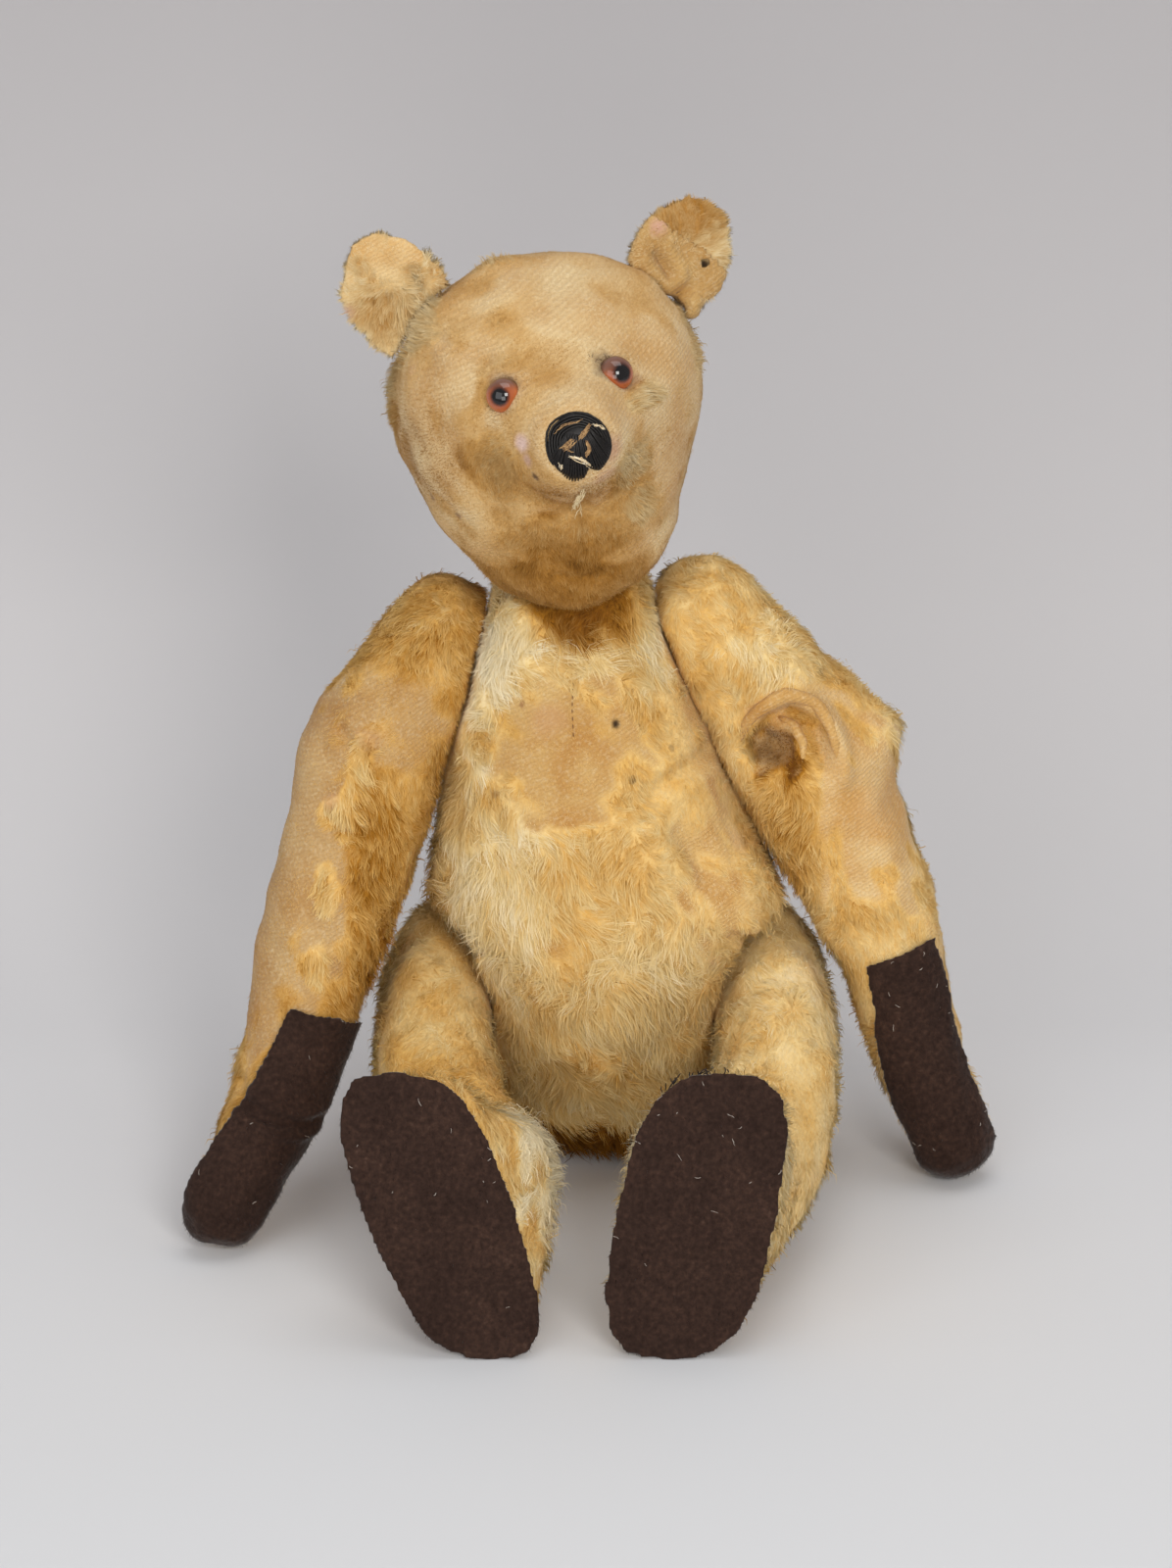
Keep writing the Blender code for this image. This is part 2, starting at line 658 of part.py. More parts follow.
def main():
    """Place the joints, then build each part of the bear around them."""
    neck = empty("neck", NECK, Matrix.Rotation(-NECK_ROLL, 3, "Y"))
    tilt = Matrix.Rotation(HEAD_YAW, 3, "Z") @ Matrix.Rotation(-HEAD_PITCH, 3, "X")
    head = empty("head", HEAD_MIDDLE, tilt, neck)
    shoulders, hips = {}, {}
    axes = {}
    for side, sign in SIDES.items():
        slope = Matrix.Rotation(-sign * SHOULDER_SLOPE[side], 3, "Y")
        swing = Matrix.Rotation(-ARM_SWING[side], 3, "X")
        shoulders[side] = empty(side + "_shoulder", SHOULDERS[side], slope @ swing)
        axes[side] = slope @ Vector((sign, 0, 0))
        hips[side] = empty(side + "_hip", HIPS[side])
    bpy.context.view_layer.update()
    neck_axis = neck.matrix_world.to_3x3() @ Vector((0, 0, 1))
    outer, still = joint_empties("neck", NECK, neck_axis, neck)
    neck_joint = Joint("neck", DISC_RADIUS["neck"], outer, still)
    shoulder_joints, hip_joints = {}, {}
    for side, sign in SIDES.items():
        name = side + "_shoulder"
        outer, still = joint_empties(name, SHOULDERS[side], axes[side], shoulders[side])
        shoulder_joints[side] = Joint(name, DISC_RADIUS["shoulder"], outer, still)
        name = side + "_hip"
        outer, still = joint_empties(name, HIPS[side], Vector((sign, 0, 0)), hips[side])
        hip_joints[side] = Joint(name, DISC_RADIUS["hip"], outer, still)
    joints = [neck_joint, *shoulder_joints.values(), *hip_joints.values()]
    for joint in joints:
        joint.build()
    make_torso(joints, neck_axis, axes)
    cover, filling, block = make_head(neck_joint, neck, head)
    for side in SIDES:
        make_eye(side, head, cover, filling)
        make_ear(side, head, block)
    make_nose(head, block)
    make_arm(
        "right",
        [
            (0.000, 0.0155, 0.000, 0.0225, 0.027, 0, 0),
            (0.035, 0.0235, 0.000, 0.0260, 0.029, 0, 0),
            (0.085, 0.0270, 0.001, 0.0270, 0.029, 0, 0),
            (0.125, 0.0290, 0.000, 0.0250, 0.026, 0, 0),
            (0.158, 0.0285, 0.001, 0.0200, 0.022, 0, 0),
            (0.188, 0.0310, 0.008, 0.0180, 0.022, 0, 0),
            (0.222, 0.0385, 0.018, 0.0155, 0.019, 0, 0),
        ],
        0.018,
        [],
        shoulders["right"],
        shoulder_joints["right"],
    )
    make_arm(
        "left",
        [
            (0.000, 0.0165, 0.000, 0.0240, 0.027, 0, 0),
            (0.035, 0.0280, 0.000, 0.0310, 0.030, 0, 0),
            (0.062, 0.0330, 0.000, 0.0320, 0.031, 0, 0),
            (0.090, 0.0320, 0.002, 0.0275, 0.029, 0, 0),
            (0.125, 0.0350, 0.003, 0.0245, 0.027, 0, 0),
            (0.155, 0.0335, 0.004, 0.0210, 0.023, 0, 0),
            (0.188, 0.0290, 0.006, 0.0185, 0.022, 0, 0),
            (0.222, 0.0300, 0.010, 0.0155, 0.019, 0, 0),
        ],
        0.015,
        [
            furrow(
                Vector((0.034, -0.030, -0.044)), Vector((0.95, 0, -0.3)), Vector((0, 1, 0)),
                0.007, 0.022, 0.009,
            ),
            dent(Vector((0.064, 0, -0.058)), Vector((1, 0, 0)), 0.012, 0.005),
        ],
        shoulders["left"],
        shoulder_joints["left"],
    )
    make_leg(
        "right",
        [
            (0.000, 0.0198, 0.000, 0.0248, 0.046, 0, 0),
            (0.035, 0.0214, 0.000, 0.0236, 0.042, 0, 0),
            (0.070, 0.0204, -0.004, 0.0238, 0.035, 0, 0),
            (0.105, 0.0105, -0.012, 0.0270, 0.031, 0, 0),
            (0.135, 0.0050, -0.010, 0.0275, 0.037, 0, 0.05),
            (0.157, 0.0118, -0.001, 0.0262, 0.0515, 0, 0.30),
            (0.172, 0.0152, 0.0015, 0.0262, 0.0540, 0, 0.35),
        ],
        math.radians(17),
        hips["right"],
        hip_joints["right"],
    )
    make_leg(
        "left",
        [
            (0.000, 0.0205, 0.000, 0.0255, 0.046, 0, 0),
            (0.035, 0.0223, 0.000, 0.0243, 0.042, 0, 0),
            (0.070, 0.0220, -0.004, 0.0240, 0.035, 0, 0),
            (0.105, 0.0130, -0.012, 0.0275, 0.031, 0, 0),
            (0.135, 0.0010, -0.010, 0.0285, 0.037, 0, 0.05),
            (0.157, -0.0070, -0.001, 0.0290, 0.0515, 0, 0.30),
            (0.172, -0.0100, 0.0015, 0.0290, 0.0540, 0, 0.35),
        ],
        math.radians(10),
        hips["left"],
        hip_joints["left"],
    )


main()
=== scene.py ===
"""The looks of an old jointed teddy bear: worn mohair, velveteen pads, glass eyes, a thread nose.

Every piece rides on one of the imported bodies. Lengths are in metres, +Z is up, the bear faces -Y
and its own left side is +X. Each soft body is a remeshed and inflated skin, with a coat of
strands grown on it, because the pile gives an old bear its outline.
"""

import json
import logging
import math
from dataclasses import dataclass, field
from enum import Enum
from typing import Callable, ClassVar, Iterable, Sequence

import bmesh
import bpy
import numpy as np
from bpy.types import Material, Mesh, Node, NodeSocket, NodeTree, Object
from mathutils import Matrix, Vector
from mathutils.bvhtree import BVHTree

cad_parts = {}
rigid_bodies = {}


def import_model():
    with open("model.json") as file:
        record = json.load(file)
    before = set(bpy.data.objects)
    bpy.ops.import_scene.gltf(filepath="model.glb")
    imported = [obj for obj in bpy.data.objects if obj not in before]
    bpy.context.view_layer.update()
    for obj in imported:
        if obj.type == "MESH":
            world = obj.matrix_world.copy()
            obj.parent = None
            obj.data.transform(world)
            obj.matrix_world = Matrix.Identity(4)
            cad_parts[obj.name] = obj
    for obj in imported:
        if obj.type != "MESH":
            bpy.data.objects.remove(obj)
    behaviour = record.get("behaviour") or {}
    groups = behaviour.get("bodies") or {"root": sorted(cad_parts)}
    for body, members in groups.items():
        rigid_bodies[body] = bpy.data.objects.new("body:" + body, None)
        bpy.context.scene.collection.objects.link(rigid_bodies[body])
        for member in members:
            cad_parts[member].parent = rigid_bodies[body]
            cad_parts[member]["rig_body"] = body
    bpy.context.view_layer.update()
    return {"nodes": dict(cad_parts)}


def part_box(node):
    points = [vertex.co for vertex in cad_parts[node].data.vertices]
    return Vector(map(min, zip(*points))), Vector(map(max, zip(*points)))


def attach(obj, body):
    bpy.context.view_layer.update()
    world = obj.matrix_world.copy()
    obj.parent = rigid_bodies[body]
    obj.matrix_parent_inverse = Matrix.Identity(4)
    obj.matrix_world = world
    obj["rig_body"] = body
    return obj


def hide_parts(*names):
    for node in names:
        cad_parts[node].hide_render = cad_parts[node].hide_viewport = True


LOG = logging.getLogger("teddy_bear")

MM = 0.001
FLOOR_CLEAR = 0.3 * MM
"""How far the lowest hair is above the floor."""
SKIN_CLEAR = 0.1 * MM
"""How far the lowest skin is above the floor."""
TINY = 1e-12

Triple = tuple[float, float, float]
Line = tuple[Triple, ...]
Ramp = tuple[tuple[float, str], ...]


# ---------------------------------------------------------------- small helpers


def linear(code: str) -> tuple[float, float, float, float]:
    """Turn an sRGB hex colour into a linear one.

    Args:
        code: Six hex digits after a hash.

    Returns:
        Red, green, blue and alpha, linear.
    """
    parts = [int(code[i : i + 2], 16) / 255 for i in (1, 3, 5)]
    return (*[p / 12.92 if p <= 0.04045 else ((p + 0.055) / 1.055) ** 2.4 for p in parts], 1.0)


def add_node(tree: NodeTree, kind: str, inputs: dict | None = None, out: int | str = 0,
             stops: Sequence[tuple[float, str]] = (), **settings: object) -> NodeSocket:
    """Add a node with its settings, its values and its links.

    Args:
        tree: The material's tree.
        kind: The node's type name, after ShaderNode.
        inputs: Socket names or numbers, each with a value or the socket to link from.
        out: Which output is wanted.
        stops: A colour ramp's places and sRGB hex colours.
        settings: The node's own settings.

    Returns:
        The output's socket.
    """
    node = tree.nodes.new("ShaderNode" + kind)
    for name, value in settings.items():
        setattr(node, name, value)
    for name, value in (inputs or {}).items():
        if isinstance(value, NodeSocket):
            tree.links.new(value, node.inputs[name])
        else:
            node.inputs[name].default_value = value
    for number, (place, code) in enumerate(stops):
        bars = node.color_ramp.elements
        bar = bars[number] if number < 2 else bars.new(place)
        bar.position, bar.color = place, linear(code)
    return node.outputs[out]


def begin(name: str, constants: dict[str, float]) -> tuple[Material, NodeTree, Node, NodeSocket]:
    """Start a material on a Principled shader.

    Args:
        name: The real material's name.
        constants: The shader's sockets that have one value all over.

    Returns:
        The material, its tree, its shader and the object coordinates.
    """
    material = bpy.data.materials.new(name)
    material.use_nodes = True
    tree = material.node_tree
    shader = tree.nodes["Principled BSDF"]
    for socket, value in constants.items():
        shader.inputs[socket].default_value = value
    return material, tree, shader, add_node(tree, "TexCoord", out="Object")


def smoothstep(x: np.ndarray) -> np.ndarray:
    """Ease values between 0 and 1."""
    x = np.clip(x, 0, 1)
    return x * x * (3 - 2 * x)


def units(v: np.ndarray) -> np.ndarray:
    """Scale rows to length one."""
    return v / np.maximum(np.linalg.norm(v, axis=1, keepdims=True), TINY)


class Drift:
    """Smooth noise through space, made of waves in random directions."""

    LENGTHS: ClassVar[tuple[float, float]] = (0.6, 1.5)
    GAIN: ClassVar[float] = 3.0
    LIMIT: ClassVar[float] = 1.5

    def __init__(self, size: float, seed: int, waves: int = 10) -> None:
        """Choose the waves.

        Args:
            size: The size of one blotch, in metres.
            seed: The seed.
            waves: How many waves are added.
        """
        chance = np.random.default_rng(seed)
        ways = units(chance.normal(size=(waves, 3)))
        self.pull = ways * (math.pi / size) * chance.uniform(*self.LENGTHS, (waves, 1))
        self.phase = chance.uniform(0, 2 * math.pi, waves)

    def at(self, places: np.ndarray) -> np.ndarray:
        """The noise at places, about -1 to 1."""
        mean = np.sin(places @ self.pull.T + self.phase).mean(axis=1)
        return np.clip(mean * self.GAIN, -self.LIMIT, self.LIMIT)


# ---------------------------------------------------------------- finishes


@dataclass(frozen=True)
class Spot:
    """A stain, a moth hole or a rubbed place, or painted shade: where it is, how wide and its colour."""

    at: Triple
    reach: float
    colour: str
    strength: float = 1.0
    ragged: float = 0.35

    FULL: ClassVar[float] = 0.3
    """The share of its reach where a spot has its full strength."""
    GONE: ClassVar[float] = 1.1
    """The share of its reach where a spot has faded out."""


def spotted(tree: NodeTree, colour: NodeSocket, spots: Iterable[Spot],
            places: NodeSocket) -> NodeSocket:
    """Lay spots over a colour.

    Args:
        tree: The material's tree.
        colour: The colour beneath.
        spots: The spots.
        places: Object coordinates.

    Returns:
        The colour with the spots on it.
    """
    for spot in spots:
        blur = add_node(tree, "TexNoise", {"Vector": places, "Scale": 0.9 / spot.reach, "Detail": 3.0})
        gap = add_node(tree, "VectorMath", {0: places, 1: spot.at}, "Value", operation="DISTANCE")
        rough = add_node(tree, "Math", {0: blur, 1: spot.ragged * 2, 2: -spot.ragged},
                         operation="MULTIPLY_ADD")
        rate = add_node(tree, "Math", {0: gap, 1: 1 / spot.reach, 2: rough},
                        operation="MULTIPLY_ADD")
        share = add_node(tree, "MapRange", {
            "Value": rate, "From Min": spot.GONE, "From Max": spot.FULL,
            "To Max": spot.strength},
            interpolation_type="SMOOTHSTEP")
        colour = add_node(tree, "Mix", {0: share, 6: colour, 7: linear(spot.colour)}, 2,
                          data_type="RGBA")
    return colour


TONES: Ramp = ((0.0, "#683C0A"), (0.22, "#AC7624"), (0.45, "#DCB064"), (0.7, "#EDD296"),
               (1.0, "#FAEDCC"))
# Mohair from dark brown, as at the roots, through amber and honey to the pale blonde of the tips; its
# dark end also serves as painted shade between locks, in recesses and under the belly.
"""Mohair from soiled brown roots through amber and honey to the pale blonde of clean tips."""

DUSTY: Ramp = ((0.0, "#623C10"), (0.22, "#9E6E2C"), (0.45, "#C29656"), (0.7, "#DCC08C"),
               (1.0, "#F4E6C0"))
"""The same pile where dust has greyed it, on the head and the ears."""


WAVE_SCALE = 0.314
"""A wave texture's scale for rows one metre apart: a tenth of pi."""


@dataclass(frozen=True)
class MohairCloth:
    """Woven mohair backing with its pile worn short: matt, with a diagonal weave where bare."""

    name: str
    spots: tuple[Spot, ...] = ()
    worn: str = "#D8A560"
    faded: str = "#EACB90"
    weave_turn: Triple = (0.0, math.radians(28), 0.0)
    comb_turn: Triple = (0.0, math.radians(25), 0.0)
    thread: float = 1.5 * MM
    lock: float = 1.1 * MM
    tones: Ramp = TONES
    cross_share: float = 0.35
    lock_share: float = 0.36
    blotch_share: float = 0.3
    level_drop: float = 0.33
    speck: str = "#F6E6C0"
    dip: str = "#A06E36"
    dip_share: float = -0.20
    dip_start: float = 0.22
    fur_relief: float = 0.1
    bare_relief: float = 0.34
    relief: float = 0.7 * MM

    def make(self) -> Material:
        """Make the material; the weave's rows are 1.5 mm apart, the finest that still shows.

        Returns:
            The material.
        """
        material, tree, shader, places = begin(self.name, {
            "Roughness": 0.95, "Specular IOR Level": 0.1, "Sheen Weight": 0.12,
            "Sheen Roughness": 0.5})
        tone = add_node(tree, "Attribute", out="Fac", attribute_name="tone")
        bare = add_node(tree, "Attribute", out="Fac", attribute_name="bare")
        along = add_node(tree, "Mapping", {
            "Vector": places, "Rotation": self.comb_turn, "Scale": (1.0, 1.0, 0.16)})
        locks = add_node(tree, "TexNoise", {
            "Vector": along, "Scale": 0.5 / self.lock, "Detail": 4.0, "Roughness": 0.6,
            "Distortion": 0.4})
        blotch = add_node(tree, "TexNoise", {"Vector": places, "Scale": 45.0, "Detail": 5.0})
        fuzz = add_node(tree, "TexNoise", {"Vector": places, "Scale": 700.0, "Detail": 3.0})
        turned = add_node(tree, "Mapping", {"Vector": places, "Rotation": self.weave_turn})
        rows, cross = (add_node(tree, "TexWave", {
            "Vector": turned, "Scale": WAVE_SCALE / self.thread, "Distortion": 4.5,
            "Detail": 3.0, "Detail Scale": 3.5}, "Fac", bands_direction=way) for way in "ZX")
        weave = add_node(tree, "Math", {0: cross, 1: self.cross_share, 2: rows},
                         operation="MULTIPLY_ADD")
        level = add_node(tree, "Math", {0: locks, 1: self.lock_share, 2: tone},
                         operation="MULTIPLY_ADD")
        level = add_node(tree, "Math", {0: blotch, 1: self.blotch_share, 2: level},
                         operation="MULTIPLY_ADD")
        level = add_node(tree, "Math", {0: level, 1: self.level_drop}, operation="SUBTRACT")
        fur = add_node(tree, "ValToRGB", {"Fac": level}, stops=self.tones)
        worn = add_node(tree, "MapRange", {"Value": blotch, "From Min": 0.35, "From Max": 0.65})
        orange = add_node(tree, "Mix", {0: worn, 6: linear(self.worn), 7: linear(self.faded)}, 2,
                          data_type="RGBA")
        speck = add_node(tree, "MapRange", {
            "Value": fuzz, "From Min": 0.5, "From Max": 0.75, "To Max": 0.26})
        orange = add_node(tree, "Mix", {0: speck, 6: orange, 7: linear(self.speck)}, 2,
                          data_type="RGBA")
        dip = add_node(tree, "Math", {0: weave, 1: self.dip_share, 2: self.dip_start},
                       operation="MULTIPLY_ADD", use_clamp=True)
        ribbed = add_node(tree, "Mix", {0: dip, 6: orange, 7: linear(self.dip)}, 2,
                          data_type="RGBA")
        colour = add_node(tree, "Mix", {0: bare, 6: fur, 7: ribbed}, 2, data_type="RGBA")
        tree.links.new(spotted(tree, colour, self.spots, places), shader.inputs["Base Color"])
        share = add_node(tree, "Math", {0: bare, 1: self.bare_relief, 2: self.fur_relief},
                         operation="MULTIPLY_ADD")
        height = add_node(tree, "Math", {0: weave, 1: share}, operation="MULTIPLY")
        height = add_node(tree, "Math", {0: fuzz, 1: 0.5, 2: height}, operation="MULTIPLY_ADD")
        height = add_node(tree, "Math", {0: locks, 1: 0.5, 2: height}, operation="MULTIPLY_ADD")
        bump = add_node(tree, "Bump", {"Height": height, "Strength": 0.7, "Distance": self.relief})
        tree.links.new(bump, shader.inputs["Normal"])
        return material


@dataclass(frozen=True)
class MohairPile:
    """Goat hair pile: silky strands, darker at the root, that let some light through."""

    name: str
    spots: tuple[Spot, ...] = ()
    tones: Ramp = TONES
    through: float = 0.22
    thin: float = 0.5
    tip_rise: float = 0.26
    root_drop: float = 0.1

    def make(self) -> Material:
        """Make the material; tone is the strand's colour and tip how far it is from the root.

        Translucent hair and half-clear shadows keep the shade between strands warm and soft, and
        a strand's two sides are lit alike.

        Returns:
            The material.
        """
        material, tree, shader, places = begin(self.name, {
            "Roughness": 0.7, "Specular IOR Level": 0.14})
        tone = add_node(tree, "Attribute", out="Fac", attribute_name="tone")
        tip = add_node(tree, "Attribute", out="Fac", attribute_name="tip")
        rise = add_node(tree, "Math", {0: tip, 1: self.tip_rise, 2: tone},
                        operation="MULTIPLY_ADD")
        level = add_node(tree, "Math", {0: rise, 1: self.root_drop}, operation="SUBTRACT")
        colour = add_node(tree, "ValToRGB", {"Fac": level}, stops=self.tones)
        colour = spotted(tree, colour, self.spots, places)
        tree.links.new(colour, shader.inputs["Base Color"])
        behind = add_node(tree, "NewGeometry", out="Backfacing")
        side = add_node(tree, "Math", {0: behind, 1: -2.0, 2: 1.0}, operation="MULTIPLY_ADD")
        facing = add_node(tree, "VectorMath", {
            0: add_node(tree, "NewGeometry", out="Normal"), "Scale": side}, operation="SCALE")
        tree.links.new(facing, shader.inputs["Normal"])
        glow = add_node(tree, "BsdfTranslucent", {"Color": colour, "Normal": facing})
        hair = add_node(tree, "MixShader", {0: self.through, 1: shader.outputs[0], 2: glow})
        shadow = add_node(tree, "LightPath", out="Is Shadow Ray")
        share = add_node(tree, "Math", {0: shadow, 1: self.thin}, operation="MULTIPLY")
        clear = add_node(tree, "BsdfTransparent")
        mixed = add_node(tree, "MixShader", {0: share, 1: hair, 2: clear})
        tree.links.new(mixed, tree.nodes["Material Output"].inputs["Surface"])
        return material


@dataclass(frozen=True)
class Velveteen:
    """Brown cotton velveteen: a short matt pile that shades by its lie, with rubbed places."""

    name: str = "brown_velveteen"
    strand: bool = False
    lie_share: float = 0.6
    worn_share: float = 0.4
    relief: float = 0.5 * MM
    tones: Ramp = ((0.34, "#2A1D18"), (0.5, "#34251F"), (0.62, "#3F2D25"), (0.74, "#523F36"))

    def make(self) -> Material:
        """Make the material; the strands' version leaves out the bump.

        Returns:
            The material.
        """
        material, tree, shader, places = begin(self.name, {
            "Roughness": 0.92, "Specular IOR Level": 0.08, "Sheen Weight": 0.25,
            "Sheen Roughness": 0.35})
        lie = add_node(tree, "TexNoise", {"Vector": places, "Scale": 520.0, "Detail": 4.0})
        worn = add_node(tree, "TexNoise", {
            "Vector": places, "Scale": 30.0, "Detail": 4.0, "Roughness": 0.6})
        level = add_node(tree, "Math", {0: lie, 1: self.lie_share}, operation="MULTIPLY")
        level = add_node(tree, "Math", {0: worn, 1: self.worn_share, 2: level},
                         operation="MULTIPLY_ADD")
        colour = add_node(tree, "ValToRGB", {"Fac": level}, stops=self.tones)
        tree.links.new(colour, shader.inputs["Base Color"])
        if not self.strand:
            bump = add_node(tree, "Bump", {"Height": lie, "Strength": 0.6, "Distance": self.relief})
            tree.links.new(bump, shader.inputs["Normal"])
        return material


@dataclass(frozen=True)
class Thread:
    """Twisted sewing thread: satin, with a fine spiral where the plies turn."""

    name: str
    colour: str
    lit: str
    rough: float = 0.4

    def make(self) -> Material:
        """Make the material; the plies' grain is 1.1 mm, as coarse as shows.

        Returns:
            The material.
        """
        material, tree, shader, places = begin(self.name, {
            "Roughness": self.rough, "Specular IOR Level": 0.28})
        ply = add_node(tree, "TexNoise", {"Vector": places, "Scale": 900.0, "Detail": 2.0})
        colour = add_node(tree, "ValToRGB", {"Fac": ply}, stops=(
            (0.35, self.colour), (0.75, self.lit)))
        tree.links.new(colour, shader.inputs["Base Color"])
        bump = add_node(tree, "Bump", {"Height": ply, "Strength": 0.4, "Distance": 0.2 * MM})
        tree.links.new(bump, shader.inputs["Normal"])
        return material


@dataclass(frozen=True)
class EyeGlass:
    """Blown glass over a painted back: black pupil, amber ring, and a clear hard gloss."""

    name: str = "amber_eye_glass"
    streaks: float = 0.03
    lit: Ramp = ((0.0, "#070404"), (0.145, "#090505"), (0.180, "#5E2E1A"), (0.22, "#A0522C"),
                 (0.34, "#B4643A"), (0.5, "#764430"), (1.0, "#3E261C"))
    clouded: Ramp = ((0.0, "#070404"), (0.145, "#0A0606"), (0.180, "#40251D"), (0.24, "#6A4232"),
                     (0.36, "#785242"), (0.5, "#54382C"), (1.0, "#3E261C"))

    def make(self) -> Material:
        """Make the material.

        off_axis runs from 0 at the pupil's middle to 1 at the back, and dusk is 1 at the top of the
        ring, which is painted darker as shade under the lid, and 0 at its bottom, which is painted
        brighter as light glowing through the glass.

        Returns:
            The material.
        """
        material, tree, shader, places = begin(self.name, {
            "Roughness": 0.05, "Specular IOR Level": 0.45, "Coat Weight": 0.25,
            "Coat Roughness": 0.02})
        off = add_node(tree, "Attribute", out="Fac", attribute_name="off_axis")
        dusk = add_node(tree, "Attribute", out="Fac", attribute_name="dusk")
        streak = add_node(tree, "TexNoise", {"Vector": places, "Scale": 500.0, "Detail": 2.0})
        level = add_node(tree, "Math", {0: streak, 1: self.streaks, 2: off},
                         operation="MULTIPLY_ADD")
        ring = add_node(tree, "ValToRGB", {"Fac": level}, stops=self.lit)
        cloud = add_node(tree, "ValToRGB", {"Fac": level}, stops=self.clouded)
        colour = add_node(tree, "Mix", {0: dusk, 6: ring, 7: cloud}, 2, data_type="RGBA")
        tree.links.new(colour, shader.inputs["Base Color"])
        return material


@dataclass(frozen=True)
class Backdrop:
    """Matt seamless paper, pale on the floor, with painted shade that darkens it up the wall."""

    name: str = "seamless_paper"

    def make(self) -> Material:
        """Make the material; it darkens with distance, and is clear where seen from behind.

        Returns:
            The material.
        """
        material, tree, shader, places = begin(self.name, {
            "Roughness": 0.9, "Specular IOR Level": 0.1})
        far = add_node(tree, "SeparateXYZ", {0: places}, "Y")
        share = add_node(tree, "MapRange", {"Value": far, "From Min": -0.3, "From Max": 1.3})
        # Painted shade: the paper's colour darkens with distance up the wall.
        colour = add_node(tree, "ValToRGB", {"Fac": share}, stops=(
            (0.0, "#D7D8DA"), (0.22, "#D5D5D7"), (0.4, "#C5C3C4"), (0.54, "#AAA7A8")))
        tree.links.new(colour, shader.inputs["Base Color"])
        mixed = add_node(tree, "MixShader", {
            0: add_node(tree, "NewGeometry", out="Backfacing"), 1: shader.outputs[0],
            2: add_node(tree, "BsdfTransparent")})
        tree.links.new(mixed, tree.nodes["Material Output"].inputs["Surface"])
        return material


# ---------------------------------------------------------------- skins


WELD = 0.01 * MM
"""The CAD meshes' seams are closed up to this width."""
SMOOTH_PASSES = 3
SMOOTH_SHARE = 0.5
SETTLED = 4 * MM
"""Above this height a skin may be drawn in by its full depth, and stay on the floor below."""


def object_from(name: str, mesh: Mesh) -> Object:
    """Link a mesh to the scene as an object at the origin, smooth.

    Args:
        name: The object's name.
        mesh: Its mesh, in the frame's own metres.

    Returns:
        The object.
    """
    thing = bpy.data.objects.new(name, mesh)
    bpy.context.scene.collection.objects.link(thing)
    mesh.shade_smooth()
    return thing


def copied(name: str, *nodes: Object) -> Object:
    """Copy some CAD nodes' meshes into one new object, with their doubles merged.

    Args:
        name: The new object's name.
        *nodes: The nodes to copy.

    Returns:
        The object.
    """
    bm = bmesh.new()
    for node in nodes:
        bm.from_mesh(node.data)
    bmesh.ops.remove_doubles(bm, verts=bm.verts, dist=WELD)
    mesh = bpy.data.meshes.new(name)
    bm.to_mesh(mesh)
    bm.free()
    return object_from(name, mesh)


def baked(thing: Object) -> Object:
    """Apply an object's modifiers to its mesh.

    Args:
        thing: The object.

    Returns:
        The same object.
    """
    graph = bpy.context.evaluated_depsgraph_get()
    mesh = bpy.data.meshes.new_from_object(thing.evaluated_get(graph), depsgraph=graph)
    mesh.name = thing.name
    old = thing.data
    thing.modifiers.clear()
    thing.data = mesh
    bpy.data.meshes.remove(old)
    mesh.shade_smooth()
    return thing


def remeshed(thing: Object, voxel: float) -> Object:
    """Remesh a piece into even faces of one voxel each.

    Args:
        thing: The piece.
        voxel: The side of a voxel in metres.

    Returns:
        The same piece.
    """
    blocks = thing.modifiers.new("blocks", "REMESH")
    blocks.mode = "VOXEL"
    blocks.voxel_size = voxel
    return baked(thing)


def finer(thing: Object) -> Object:
    """Divide a piece's faces once, and smooth it.

    Args:
        thing: The piece.

    Returns:
        The same piece.
    """
    parts = thing.modifiers.new("finer", "SUBSURF")
    parts.levels = parts.render_levels = 1
    return baked(thing)


def places_of(mesh: Mesh) -> np.ndarray:
    """A mesh's vertices, one row each.

    Args:
        mesh: The mesh.

    Returns:
        The places, three columns.
    """
    flat = np.empty(len(mesh.vertices) * 3, np.float32)
    mesh.vertices.foreach_get("co", flat)
    return flat.reshape(-1, 3).astype(float)


def put_places(mesh: Mesh, places: np.ndarray) -> None:
    """Move a mesh's vertices to new places."""
    mesh.vertices.foreach_set("co", places.astype(np.float32).ravel())
    mesh.update()


def normals_of(mesh: Mesh) -> np.ndarray:
    """A mesh's vertex normals, one row each.

    Args:
        mesh: The mesh.

    Returns:
        The normals, three columns.
    """
    flat = np.empty(len(mesh.vertices) * 3, np.float32)
    mesh.vertex_normals.foreach_get("vector", flat)
    return flat.reshape(-1, 3).astype(float)


def painted(mesh: Mesh, name: str, values: np.ndarray) -> None:
    """Store a value per vertex for the materials to read.

    Args:
        mesh: The mesh.
        name: The attribute's name.
        values: One number for each vertex.
    """
    layer = mesh.attributes.get(name) or mesh.attributes.new(name, "FLOAT", "POINT")
    layer.data.foreach_set("value", np.asarray(values, np.float32))


def tree_of(*things: Object) -> BVHTree:
    """A search tree over the faces of some objects.

    Args:
        *things: The objects.

    Returns:
        The tree.
    """
    places, faces = [], []
    for thing in things:
        start = len(places)
        places += [v.co.copy() for v in thing.data.vertices]
        faces += [[start + i for i in p.vertices] for p in thing.data.polygons]
    return BVHTree.FromPolygons(places, faces)


